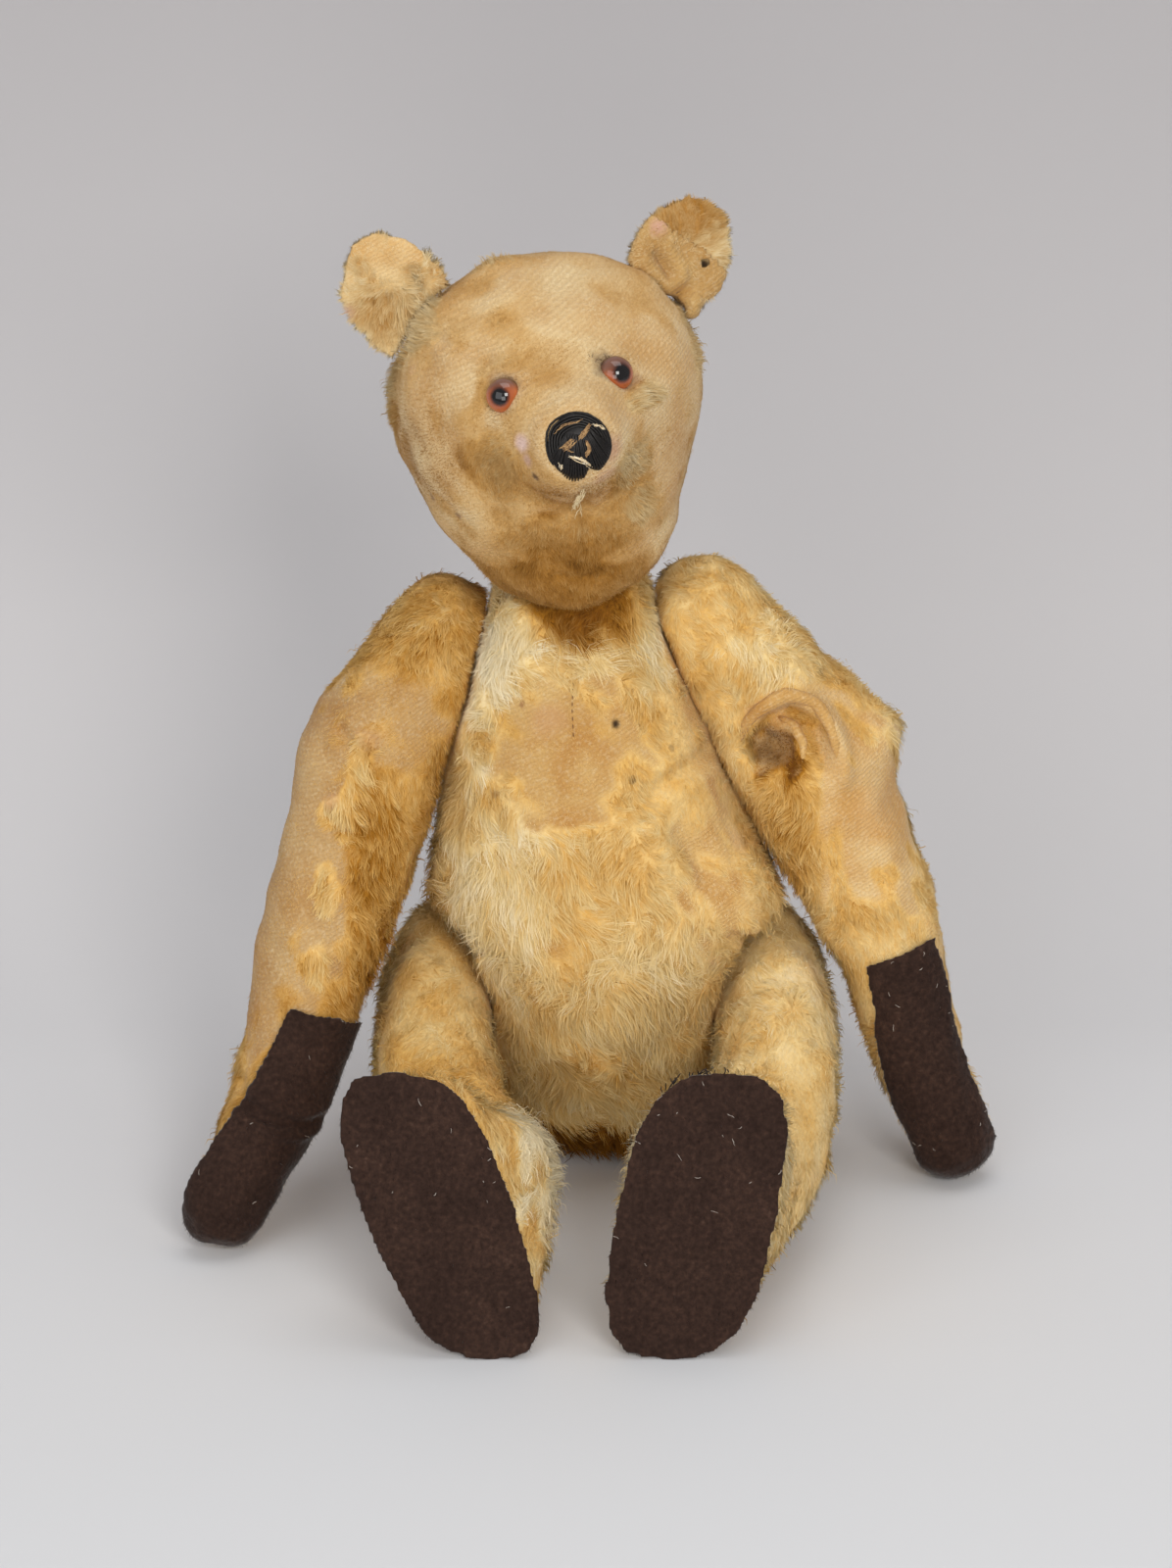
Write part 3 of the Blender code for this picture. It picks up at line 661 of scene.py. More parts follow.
def gaps_to(tree: BVHTree, places: np.ndarray, reach: float) -> np.ndarray:
    """How far each place is from a search tree's faces, up to a reach.

    Args:
        tree: The tree.
        places: The places, one row each.
        reach: The longest distance that counts.

    Returns:
        One distance for each place.
    """
    gaps = np.full(len(places), reach)
    for i, place in enumerate(places):
        near = tree.find_nearest(Vector(place), reach)
        if near[0] is not None:
            gaps[i] = near[3]
    return gaps


def outer_sheet(bm: bmesh.types.BMesh) -> None:
    """Keep the widest island of faces and delete what lies inside it.

    Args:
        bm: The mesh, which is changed.
    """
    left, islands = set(bm.faces), []
    while left:
        edge, island = [left.pop()], []
        while edge:
            face = edge.pop()
            island.append(face)
            for side in face.edges:
                for near in side.link_faces:
                    if near in left:
                        left.remove(near)
                        edge.append(near)
        islands.append(island)
    widest = max(islands, key=len)
    lost = [f for island in islands if island is not widest for f in island]
    bmesh.ops.delete(bm, geom=lost, context="FACES")


def skin_of(name: str, nodes: Sequence[Object], voxel: float) -> Object:
    """Make one closed outer skin around some CAD solids.

    Args:
        name: The new piece's name.
        nodes: The solids it covers.
        voxel: The size of its faces.

    Returns:
        The skin, as fine as the voxels.
    """
    skin = remeshed(copied(name, *nodes), voxel)
    bm = bmesh.new()
    bm.from_mesh(skin.data)
    outer_sheet(bm)
    for _ in range(SMOOTH_PASSES):
        bmesh.ops.smooth_vert(bm, verts=bm.verts, factor=SMOOTH_SHARE, use_axis_x=True,
                              use_axis_y=True, use_axis_z=True)
    bm.to_mesh(skin.data)
    bm.free()
    return skin


def sunk(skin: Object, depth: float, kept: Sequence[Object], reach: float = 9 * MM) -> None:
    """Draw a skin in, to leave room for its pile, except close to what sits on it.

    Args:
        skin: The skin.
        depth: How far in.
        kept: The pieces that sit on it.
        reach: How far from them the skin is back at its full depth.
    """
    places, normals = places_of(skin.data), normals_of(skin.data)
    share = smoothstep(places[:, 2] / SETTLED)
    if kept:
        share = share * smoothstep(gaps_to(tree_of(*kept), places, reach) / reach)
    put_places(skin.data, places - normals * (depth * share)[:, None])


@dataclass(frozen=True)
class Stuffing:
    """How the cloth simulation fills a skin: air pressure alone, over a few settled steps."""

    pressure: float = 4.0
    quality: int = 4
    steps: int = 20
    fold: float = 14 * MM
    slack: float = 0.5 * MM


STUFFING = Stuffing()


def puffed(skin: Object, held: np.ndarray, cap: float, seed: int) -> None:
    """Inflate a skin as stuffed cloth, so that it swells between its held places.

    Args:
        skin: The skin.
        held: A weight per vertex, 1 where it is sewn down or rests on something.
        cap: The furthest that a point may move.
        seed: The seed of the slack that lets small folds start.
    """
    before, normals = places_of(skin.data), normals_of(skin.data)
    slack = Drift(STUFFING.fold, seed).at(before) * (1 - held)
    put_places(skin.data, before + normals * (slack * STUFFING.slack)[:, None])
    group = skin.vertex_groups.new(name="held")
    for i, weight in enumerate(held):
        group.add([i], float(weight), "REPLACE")
    cloth = skin.modifiers.new("cloth", "CLOTH")
    cloth.settings.use_pressure = True
    cloth.settings.uniform_pressure_force = STUFFING.pressure
    cloth.settings.vertex_group_mass = "held"
    cloth.settings.effector_weights.gravity = 0.0
    cloth.settings.quality = STUFFING.quality
    cloth.collision_settings.use_collision = False
    scene = bpy.context.scene
    for step in range(STUFFING.steps):
        scene.frame_set(step + 1)
    baked(skin)
    scene.frame_set(1)
    skin.vertex_groups.clear()
    moved = places_of(skin.data) - before
    far = np.linalg.norm(moved, axis=1, keepdims=True)
    moved *= np.minimum(1, cap / np.maximum(far, TINY))
    put_places(skin.data, before + moved)


def line_distance(places: np.ndarray, points: Line | np.ndarray) -> tuple[np.ndarray, np.ndarray]:
    """How far places are from a broken line, and where along it, from 0 to 1.

    Args:
        places: The places.
        points: The line's corners.

    Returns:
        The distances and the shares along the line.
    """
    corners = np.array(points, float)
    spans = np.linalg.norm(np.diff(corners, axis=0), axis=1)
    total, done = spans.sum(), 0.0
    best, along = np.full(len(places), np.inf), np.zeros(len(places))
    for a, b, span in zip(corners, corners[1:], spans):
        t = np.clip(((places - a) @ (b - a)) / span**2, 0, 1)
        gap = np.linalg.norm(places - (a + t[:, None] * (b - a)), axis=1)
        closer = gap < best
        best[closer], along[closer] = gap[closer], (done + t[closer] * span) / total
        done += span
    return best, along


@dataclass(frozen=True)
class Lump:
    """A soft round swelling, or a hollow where its rise is below nothing."""

    at: Triple
    towards: Triple
    reach: float | Triple
    rise: float

    def press(self, places: np.ndarray, normals: np.ndarray) -> np.ndarray:
        """Move places towards the lump's own way, less and less from its middle.

        Args:
            places: The places, one row each.
            normals: Their normals, which a lump doesn't need.

        Returns:
            The moved places.
        """
        gap = (places - np.array(self.at)) / np.array(self.reach)
        share = np.exp(-(gap**2).sum(axis=1))
        way = np.array(self.towards) / np.linalg.norm(self.towards)
        return places + way * (share * self.rise)[:, None]


@dataclass(frozen=True)
class Crease:
    """A sewn or pressed line: the skin dips along it, and swells a little beside it.

    A crease in front is measured across X and Z alone, and touches only what faces forwards.
    """

    points: Line
    width: float
    depth: float
    lip: float = 0.0
    front: bool = True

    END_FADE: ClassVar[tuple[float, float]] = (6.0, 0.25)
    """How fast the line grows from an end, and how much of it is there at the very end."""
    TURN_FADE: ClassVar[tuple[float, float]] = (1.5, 0.35)
    """How fast the line goes as the skin turns sideways, and how much is left there."""
    LIP_AT: ClassVar[float] = 1.9
    """How many widths the swell lies off the line."""

    def press(self, places: np.ndarray, normals: np.ndarray) -> np.ndarray:
        """Move places in along the line, fading at its two ends; a ridge has a depth below 0.

        Args:
            places: The places, one row each.
            normals: Their normals, which the press goes against.

        Returns:
            The moved places.
        """
        keep = np.array([1.0, 0.0 if self.front else 1.0, 1.0])
        gap, along = line_distance(places * keep, np.array(self.points) * keep)
        rate, start = self.END_FADE
        fade = smoothstep(along * rate + start) * smoothstep((1 - along) * rate + start)
        if self.front:
            rate, start = self.TURN_FADE
            fade = fade * smoothstep(start - normals[:, 1] * rate)
        dip = np.exp(-((gap / self.width) ** 2)) * self.depth
        swell = np.exp(-(((gap - self.LIP_AT * self.width) / self.width) ** 2)) * self.lip
        return places - normals * ((dip - swell) * fade)[:, None]


THREAD_END = 0.55
"""How thick a thread is at its two ends, as a share of its radius."""
TAPER_END = 0.15
"""The same for a thread that thins out all the way."""


def tube_mesh(lines: Iterable[Sequence[Sequence[float]]], radius: float, sides: int = 2,
              tapered: bool = False) -> Mesh:
    """Make round threads along some lines.

    Args:
        lines: Rows of points.
        radius: The thread's radius.
        sides: How round it is.
        tapered: Whether it thins out all the way from its middle to both ends.

    Returns:
        One mesh of all the threads.
    """
    curve = bpy.data.curves.new("threads", "CURVE")
    curve.dimensions = "3D"
    curve.bevel_depth = radius
    curve.bevel_resolution = sides
    curve.use_fill_caps = True
    for line in lines:
        spline = curve.splines.new("POLY")
        last = len(line) - 1
        spline.points.add(last)
        for i, (point, p) in enumerate(zip(spline.points, line)):
            point.co = (*p, 1)
            point.radius = THREAD_END if i in (0, last) else 1.0
            if tapered:
                point.radius = TAPER_END + (1 - TAPER_END) * math.sin(math.pi * i / last) ** 0.6
    holder = bpy.data.objects.new("threads", curve)
    bpy.context.scene.collection.objects.link(holder)
    graph = bpy.context.evaluated_depsgraph_get()
    mesh = bpy.data.meshes.new_from_object(holder.evaluated_get(graph), depsgraph=graph)
    bpy.data.objects.remove(holder)
    bpy.data.curves.remove(curve)
    return mesh


def dressed(thing: Object, material: Material, body: str) -> Object:
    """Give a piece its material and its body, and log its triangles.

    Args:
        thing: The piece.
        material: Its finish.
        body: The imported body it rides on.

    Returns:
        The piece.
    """
    thing.data.materials.clear()
    thing.data.materials.append(material)
    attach(thing, body)
    faces = sum(len(p.vertices) - 2 for p in thing.data.polygons)
    LOG.info("%s: %d triangles", thing.name, faces)
    return thing


# ---------------------------------------------------------------- pile


@dataclass(frozen=True)
class Patch:
    """A place on the coat that differs: rubbed bare, left long, soiled or bleached, or painted darker as
    shade or paler as light.
    """

    at: Triple
    reach: float | Triple
    bare: float = 0.0
    long: float = 0.0
    tone: float = 0.0
    line: Line = ()
    ragged: float = 0.3

    EDGE: ClassVar[float] = 1.35
    """How many reaches from its middle a patch has faded out."""
    SOFT: ClassVar[float] = 0.7
    """How many reaches its soft edge is wide."""

    def share(self, places: np.ndarray, rough: np.ndarray) -> np.ndarray:
        """How much of the patch there is at places, from 0 to 1.

        Args:
            places: The places, one row each.
            rough: Noise at the places, which frays the edge.

        Returns:
            One share for each place.
        """
        if self.line:
            gap = line_distance(places, self.line)[0] / self.reach
        else:
            gap = np.linalg.norm((places - np.array(self.at)) / np.array(self.reach), axis=1)
        return smoothstep((self.EDGE + rough * self.ragged - gap) / self.SOFT)


@dataclass(frozen=True)
class Comb:
    """Which way the pile lies: a run, plus a way out from a middle, how flat and how tousled."""

    run: Triple = (0.0, 0.0, -1.0)
    middle: Triple = (0.0, 0.0, 0.0)
    out: float = 0.0
    lean: float = 0.66
    swirl: float = 0.5
    tousle: float = 0.3

    def at(self, places: np.ndarray) -> np.ndarray:
        """The direction at places."""
        away = units(places - np.array(self.middle))
        return units(np.array(self.run) + away * self.out)


@dataclass(frozen=True)
class Habit:
    """What every coat of mohair has in common.

    A pair is a lowest and a highest value. A place is bare from 0, full, to 1, worn to the cloth.
    """

    fine: float = 7 * MM
    """The size of the small blotches that a coat is uneven in, and below of the large ones."""
    broad: float = 34 * MM
    bare_sway: float = 0.16
    bare_fray: float = 0.08
    length_sway: float = 0.18
    tone_sway: float = 0.05
    least: float = 0.8 * MM
    longest: float = 15 * MM
    tones: tuple[float, float] = (0.04, 0.97)

    cloth_from: float = 0.25
    """How bare a place is where its cloth begins to show, and below over what it comes out."""
    cloth_over: float = 0.5
    # cloth_shade: under full pile the cloth is painted this much darker, as painted shade under the
    # hair.
    cloth_shade: float = 0.05

    thinned: float = 0.80
    """The share of its hairs that a bare place has lost."""
    thin_from: float = 0.15
    thin_over: float = 0.7
    thick_share: float = 0.6
    thick_gain: float = 2 * MM
    """Short pile is thicker, by this over its length."""
    tight: float = 0.3 * MM
    """No hairs grow where a neighbour is nearer than this, and below how soon they all do."""
    tight_over: float = 1.2 * MM
    seat_share: float = 0.3
    """The share of its hairs that the flattened seat keeps, and below how high that reaches."""
    seat_height: float = 14 * MM

    worn_off: float = 0.72
    """The share of its length that a bare place's hair has lost."""
    worn_over: float = 0.8
    lengths: tuple[float, float] = (0.55, 1.25)
    shortest: float = 0.7 * MM
    room_share: float = 0.95
    stray_stretch: float = 1.35
    stray_more: float = 0.6 * MM
    curl_from: float = 3.5 * MM
    curl_over: float = 3 * MM
    curl_share: float = 0.5

    swirl: float = 15 * MM
    """The size of the whorls that the coat is combed in, and below how they tip the hairs."""
    lean_sway: float = 0.12
    scatter: float = 0.16
    lean_spread: float = 0.1
    leans: tuple[float, float] = (0.1, 0.93)
    crowd: float = 9 * MM
    """A neighbour nearer than this makes the hairs stand up, and below by how much."""
    crowd_lean: float = 0.4
    stray_lean: float = 0.6
    root_lean: float = 0.75
    tip_rise: float = 0.45
    droop: float = 0.14

    cell_sway: float = 9 * MM
    """The size of the unevenness of the locks' borders."""
    cell_shift: float = 1.5
    """How far in millimetres the locks' borders are shifted."""
    root_share: float = 0.45
    """How much of a hair runs as its root does, and the rest runs as its tip."""
    pull_from: float = 4 * MM
    """Hairs this long are drawn fully into their lock."""
    pulls: tuple[float, float] = (0.5, 1.1)
    most_pull: float = 0.85
    middle_out: float = 0.06
    kink: float = 0.05
    tip_kink: float = 1.6

    twist: float = 0.38
    widths: tuple[float, float] = (0.6, 1.3)
    wide_from: float = 3.5 * MM
    wide_range: tuple[float, float] = (0.7, 1.1)
    middle_half: float = 0.42
    """Half a hair's width at its middle, as a share of its width at the root."""

    deep_from: float = 5 * MM
    # Hairs this long have the full painted shade in the gaps between locks.
    """Hairs this long have full shade in the gaps between locks."""
    deepest: float = 1.3
    gap_shade: float = 0.14
    hair_lift: float = 0.05
    lock_shade: float = 0.045
    hair_shade: float = 0.03
    hair_tones: tuple[float, float] = (0.02, 0.98)
    round: float = 0.5
    """How much a lock is lit as a round thing, and below how its hairs turn from its face."""
    facing_spread: float = 0.07
    facing_comb: float = 0.15
    facing_up: float = 0.2


HABIT = Habit()


@dataclass
class Locks:
    """Which lock each hair belongs to, and how many hairs each lock has."""

    which: np.ndarray
    count: np.ndarray

    PRIMES: ClassVar[tuple[int, int, int]] = (1, 10007, 100000007)
    """The weights that give each cell of space a number of its own."""

    @classmethod
    def gathered(cls, root: np.ndarray, size: float, seed: int) -> "Locks":
        """Gather hairs into locks by uneven cells of space.

        Args:
            root: The hairs' roots, one row each.
            size: How wide a lock is.
            seed: The seed of the cells' uneven borders.

        Returns:
            The locks.
        """
        jitter = np.stack([Drift(HABIT.cell_sway, seed + k).at(root) for k in range(3)], axis=1)
        cell = np.floor((root + jitter * HABIT.cell_shift * MM) / size).astype(np.int64)
        _, which = np.unique(cell @ np.array(cls.PRIMES), return_inverse=True)
        which = which.ravel()
        return cls(which, np.bincount(which).astype(float)[:, None])

    def hearts(self, points: np.ndarray) -> np.ndarray:
        """The middle of each lock's points, for every hair of it."""
        sums = [np.bincount(self.which, points[:, k]) for k in range(3)]
        return (np.stack(sums, axis=1) / self.count)[self.which]


@dataclass
class Coat:
    """A coat of mohair on one skin: where it is worn, how long it is and how it lies.

    Short hairs are one thin face each, and the longest are three faces, so that they curl.
    """

    name: str
    body: str
    faces: int
    length: float
    bare: float
    tone: float
    comb: Comb
    seed: int
    patches: tuple[Patch, ...] = ()
    width: float = 0.36 * MM
    clump: float = 3.4 * MM
    gather: float = 0.5
    strays: float = 0.015
    room: Callable[[np.ndarray], np.ndarray] | None = field(default=None, repr=False)

    def look(self, places: np.ndarray) -> tuple[np.ndarray, np.ndarray, np.ndarray]:
        """The coat at places.

        Args:
            places: Where to look.

        Returns:
            How bare it is, how long its pile is in metres, and its tone from 0, brown, to 1.
        """
        rough = Drift(HABIT.fine, self.seed + 1).at(places)
        broad = Drift(HABIT.broad, self.seed + 2).at(places)
        bare = self.bare + HABIT.bare_sway * broad + HABIT.bare_fray * rough
        length = self.length * (1 + HABIT.length_sway * broad)
        tone = self.tone + HABIT.tone_sway * broad + HABIT.tone_sway * rough
        for patch in self.patches:
            share = patch.share(places, rough)
            bare = bare + patch.bare * share
            length = length + patch.long * share
            tone = tone + patch.tone * share
        return (np.clip(bare, 0, 1), np.clip(length, HABIT.least, HABIT.longest),
                np.clip(tone, *HABIT.tones))

    def paint(self, skin: Object) -> None:
        """Store the coat's wear and tone on the skin.

        Args:
            skin: The body's skin.
        """
        bare, _, tone = self.look(places_of(skin.data))
        painted(skin.data, "bare", smoothstep((bare - HABIT.cloth_from) / HABIT.cloth_over))
        # Under full pile the cloth's tone is lowered: painted shade under the hair.
        painted(skin.data, "tone", tone - HABIT.cloth_shade * (1 - bare))

    def rooted(self, skin: Object, chance: np.random.Generator) -> tuple[np.ndarray, ...]:
        """Choose where hairs grow, more of them where the coat is full.

        Args:
            skin: The skin.
            chance: The random numbers.

        Returns:
            The roots, the skin's normals there, and the room to the nearest neighbour.
        """
        mesh = skin.data
        mesh.calc_loop_triangles()
        corners = np.empty(len(mesh.loop_triangles) * 3, np.int32)
        mesh.loop_triangles.foreach_get("vertices", corners)
        corners = corners.reshape(-1, 3)
        places, normals = places_of(mesh), normals_of(mesh)
        a, b, c = (places[corners[:, k]] for k in range(3))
        middle = (a + b + c) / 3
        bare, length, _ = self.look(middle)
        free = self.room(middle) if self.room else np.full(len(a), 1.0)
        need = np.linalg.norm(np.cross(b - a, c - a), axis=1)
        thin = HABIT.thinned * smoothstep((bare - HABIT.thin_from) / HABIT.thin_over)
        need *= (1 - thin) * (HABIT.thick_share + HABIT.thick_gain / length)
        need *= smoothstep((free - HABIT.tight) / HABIT.tight_over)
        seat = smoothstep(middle[:, 2] / HABIT.seat_height)
        need *= HABIT.seat_share + (1 - HABIT.seat_share) * seat
        picks = chance.choice(len(need), self.faces, p=need / need.sum())
        u, v = chance.random((2, self.faces))
        u, v = np.where(u + v > 1, 1 - u, u), np.where(u + v > 1, 1 - v, v)
        parts = ((1 - u - v)[:, None], u[:, None], v[:, None])
        root = sum(part * places[corners[picks, k]] for k, part in enumerate(parts))
        up = units(sum(part * normals[corners[picks, k]] for k, part in enumerate(parts)))
        return root, up, free[picks]

    def sized(self, root: np.ndarray, free: np.ndarray,
              chance: np.random.Generator) -> tuple[np.ndarray, ...]:
        """Choose how long each hair is, and which ones stray and curl.

        Args:
            root: The roots, one row each.
            free: The room to the nearest neighbour.
            chance: The random numbers.

        Returns:
            The lengths, the tones, which hairs curl and which stray.
        """
        bare, length, tone = self.look(root)
        kept = 1 - HABIT.worn_off * smoothstep(bare / HABIT.worn_over)
        length = length * kept * chance.uniform(*HABIT.lengths, len(root))
        stray = chance.random(len(root)) < self.strays
        length = np.where(stray, length * HABIT.stray_stretch + HABIT.stray_more, length)
        length = np.clip(length, HABIT.shortest, np.maximum(free * HABIT.room_share, HABIT.shortest))
        curled = chance.random(len(root)) < HABIT.curl_share * smoothstep(
            (length - HABIT.curl_from) / HABIT.curl_over)
        return length, tone, curled, stray

    def combed(self, root: np.ndarray, up: np.ndarray, free: np.ndarray, stray: np.ndarray,
               locks: Locks, chance: np.random.Generator) -> tuple[np.ndarray, ...]:
        """Choose which way each hair leaves the skin and which way it ends.

        Args:
            root: The roots, one row each.
            up: The skin's normals there.
            free: The room to the nearest neighbour.
            stray: Which hairs stray.
            locks: The locks, each of which is tousled as one.
            chance: The random numbers.

        Returns:
            The ways along the skin, at the root and at the tip.
        """
        swirl = np.stack([Drift(HABIT.swirl, self.seed + 5 + k).at(root) for k in range(3)], axis=1)
        messy = chance.normal(0, self.comb.tousle, (len(locks.count), 3))[locks.which]
        comb = self.comb.at(root) + self.comb.swirl * swirl + messy
        comb = units(comb + chance.normal(0, HABIT.scatter, comb.shape))
        comb = units(comb - up * (comb * up).sum(axis=1, keepdims=True))
        lean = (self.comb.lean + HABIT.lean_sway * swirl[:, 0]
                + chance.normal(0, HABIT.lean_spread, len(root)))
        crowd = HABIT.crowd_lean + (1 - HABIT.crowd_lean) * np.clip(free / HABIT.crowd, 0, 1)
        lean = lean * crowd * np.where(stray, HABIT.stray_lean, 1.0)
        lean = np.clip(lean, *HABIT.leans)
        start = units(up * (1 - lean)[:, None] + comb * (lean * HABIT.root_lean)[:, None])
        ending = units(up * ((1 - lean) * HABIT.tip_rise)[:, None] + comb * lean[:, None]
                       + np.array([0, 0, -HABIT.droop]))
        return comb, start, ending

    def grow(self, skin: Object, material: Material, record_slot: str = "worn_mohair") -> Object:
        """Grow the hairs on a skin.

        Args:
            skin: The skin.
            material: The hairs' finish.
            record_slot: The record's name for the material; not used.

        Returns:
            The coat as one piece.
        """
        chance = np.random.default_rng(self.seed)
        root, up, free = self.rooted(skin, chance)
        length, tone, curled, stray = self.sized(root, free, chance)
        kept = np.cumsum(np.where(curled, 3, 1)) <= self.faces
        root, up, free, length, tone, curled, stray = (
            row[kept] for row in (root, up, free, length, tone, curled, stray))
        locks = Locks.gathered(root, self.clump, self.seed + 9)
        comb, start, ending = self.combed(root, up, free, stray, locks, chance)
        run = start * HABIT.root_share + ending * (1 - HABIT.root_share)
        tip = root + run * length[:, None]
        pull = self.gather * np.clip(length / HABIT.pull_from, 0, 1) * chance.uniform(
            *HABIT.pulls, len(root))
        tip = tip + (locks.hearts(tip) - tip) * np.clip(pull, 0, HABIT.most_pull)[:, None]
        mid = root + start * length[:, None] * 0.5 + (tip - root) * HABIT.middle_out
        kink = chance.normal(0, HABIT.kink, root.shape) * length[:, None]
        mid, tip = mid + kink, tip + kink * HABIT.tip_kink
        lift = np.maximum(0, FLOOR_CLEAR - np.minimum(mid[:, 2], tip[:, 2]))
        mid[:, 2] += lift
        tip[:, 2] += lift
        across = units(np.cross(tip - root, up + chance.normal(0, HABIT.twist, up.shape)))
        wide = self.width * chance.uniform(*HABIT.widths, len(root))
        wide = (wide * np.clip(length / HABIT.wide_from, *HABIT.wide_range))[:, None]
        waist = across * wide * HABIT.middle_half
        points = np.stack([root - across * wide / 2, root + across * wide / 2, mid - waist,
                           mid + waist, tip], axis=1)
        off = (root - locks.hearts(root)) / self.clump
        depth = np.linalg.norm(off, axis=1) * np.clip(length / HABIT.deep_from, 0, HABIT.deepest)
        shade = chance.normal(0, HABIT.lock_shade, len(locks.count))[locks.which]
        # gap_shade darkens hairs towards the edge of their lock: painted shade in the gaps between
        # locks.
        tone = (tone + shade + HABIT.hair_lift - HABIT.gap_shade * depth**2
                + chance.normal(0, HABIT.hair_shade, len(root)))
        bend = HABIT.round * off * np.clip(length / HABIT.deep_from, 0, 1)[:, None]
        facing = units(up + bend + HABIT.facing_spread * chance.normal(0, 1, up.shape)
                       + HABIT.facing_comb * comb + np.array([0, 0, HABIT.facing_up]))
        return hair_piece(self, points, np.clip(tone, *HABIT.hair_tones), facing, curled, material)


LONG_HAIR = (0, 1, 3, 0, 3, 2, 2, 3, 4)
SHORT_HAIR = (0, 1, 2)
"""The corners of a hair's faces: two at the root, two at the middle where it is long, the tip."""
HAIR_TIPS = (0.0, 0.0, 0.5, 0.5, 1.0)
"""How far from the root each of the five corners is."""
HAIR_LAYOUT = ((0.1, 0.1), (0.9, 0.1), (0.1, 0.5), (0.9, 0.5), (0.5, 0.9))
"""The five corners' places in the hair's own cell of the layout for baking."""


def hair_piece(coat: Coat, points: np.ndarray, tone: np.ndarray, facing: np.ndarray,
               curled: np.ndarray, material: Material) -> Object:
    """Make one piece of a coat's hairs. No operator makes these, so the corners are listed here.

    Args:
        coat: The coat.
        points: Five corners a hair: two at the root, two at the middle, and the tip.
        tone: Each hair's tone.
        facing: Each hair's shading normal.
        curled: Which hairs have all five corners; the others have the root's two and the tip.
        material: The finish.

    Returns:
        The piece.
    """
    used = np.ones((len(points), 5), bool)
    used[~curled, 2:4] = False
    sizes = used.sum(axis=1)
    first = np.cumsum(sizes) - sizes
    three = (first[curled, None] + np.array(LONG_HAIR)).ravel()
    one = (first[~curled, None] + np.array(SHORT_HAIR)).ravel()
    corners = np.concatenate([three, one]).astype(np.int32)
    mesh = bpy.data.meshes.new(coat.name)
    mesh.vertices.add(int(used.sum()))
    mesh.vertices.foreach_set("co", points[used].astype(np.float32).ravel())
    mesh.loops.add(len(corners))
    mesh.loops.foreach_set("vertex_index", corners)
    mesh.polygons.add(len(corners) // 3)
    mesh.polygons.foreach_set("loop_start", np.arange(0, len(corners), 3, dtype=np.int32))
    mesh.update(calc_edges=True)
    owner = np.repeat(np.arange(len(points)), sizes)
    painted(mesh, "tone", tone[owner])
    painted(mesh, "tip", np.tile(HAIR_TIPS, (len(points), 1))[used])
    across = math.ceil(math.sqrt(len(points)))
    cell = np.stack([owner % across, owner // across], axis=1)
    layout = (cell + np.tile(HAIR_LAYOUT, (len(points), 1, 1))[used]) / across
    mesh.uv_layers.new(name="OFBake").data.foreach_set(
        "uv", layout[corners].astype(np.float32).ravel())
    thing = object_from(coat.name, mesh)
    mesh.normals_split_custom_set_from_vertices(facing[owner].astype(np.float32))
    return dressed(thing, material, coat.body)


# ---------------------------------------------------------------- the bear's bodies


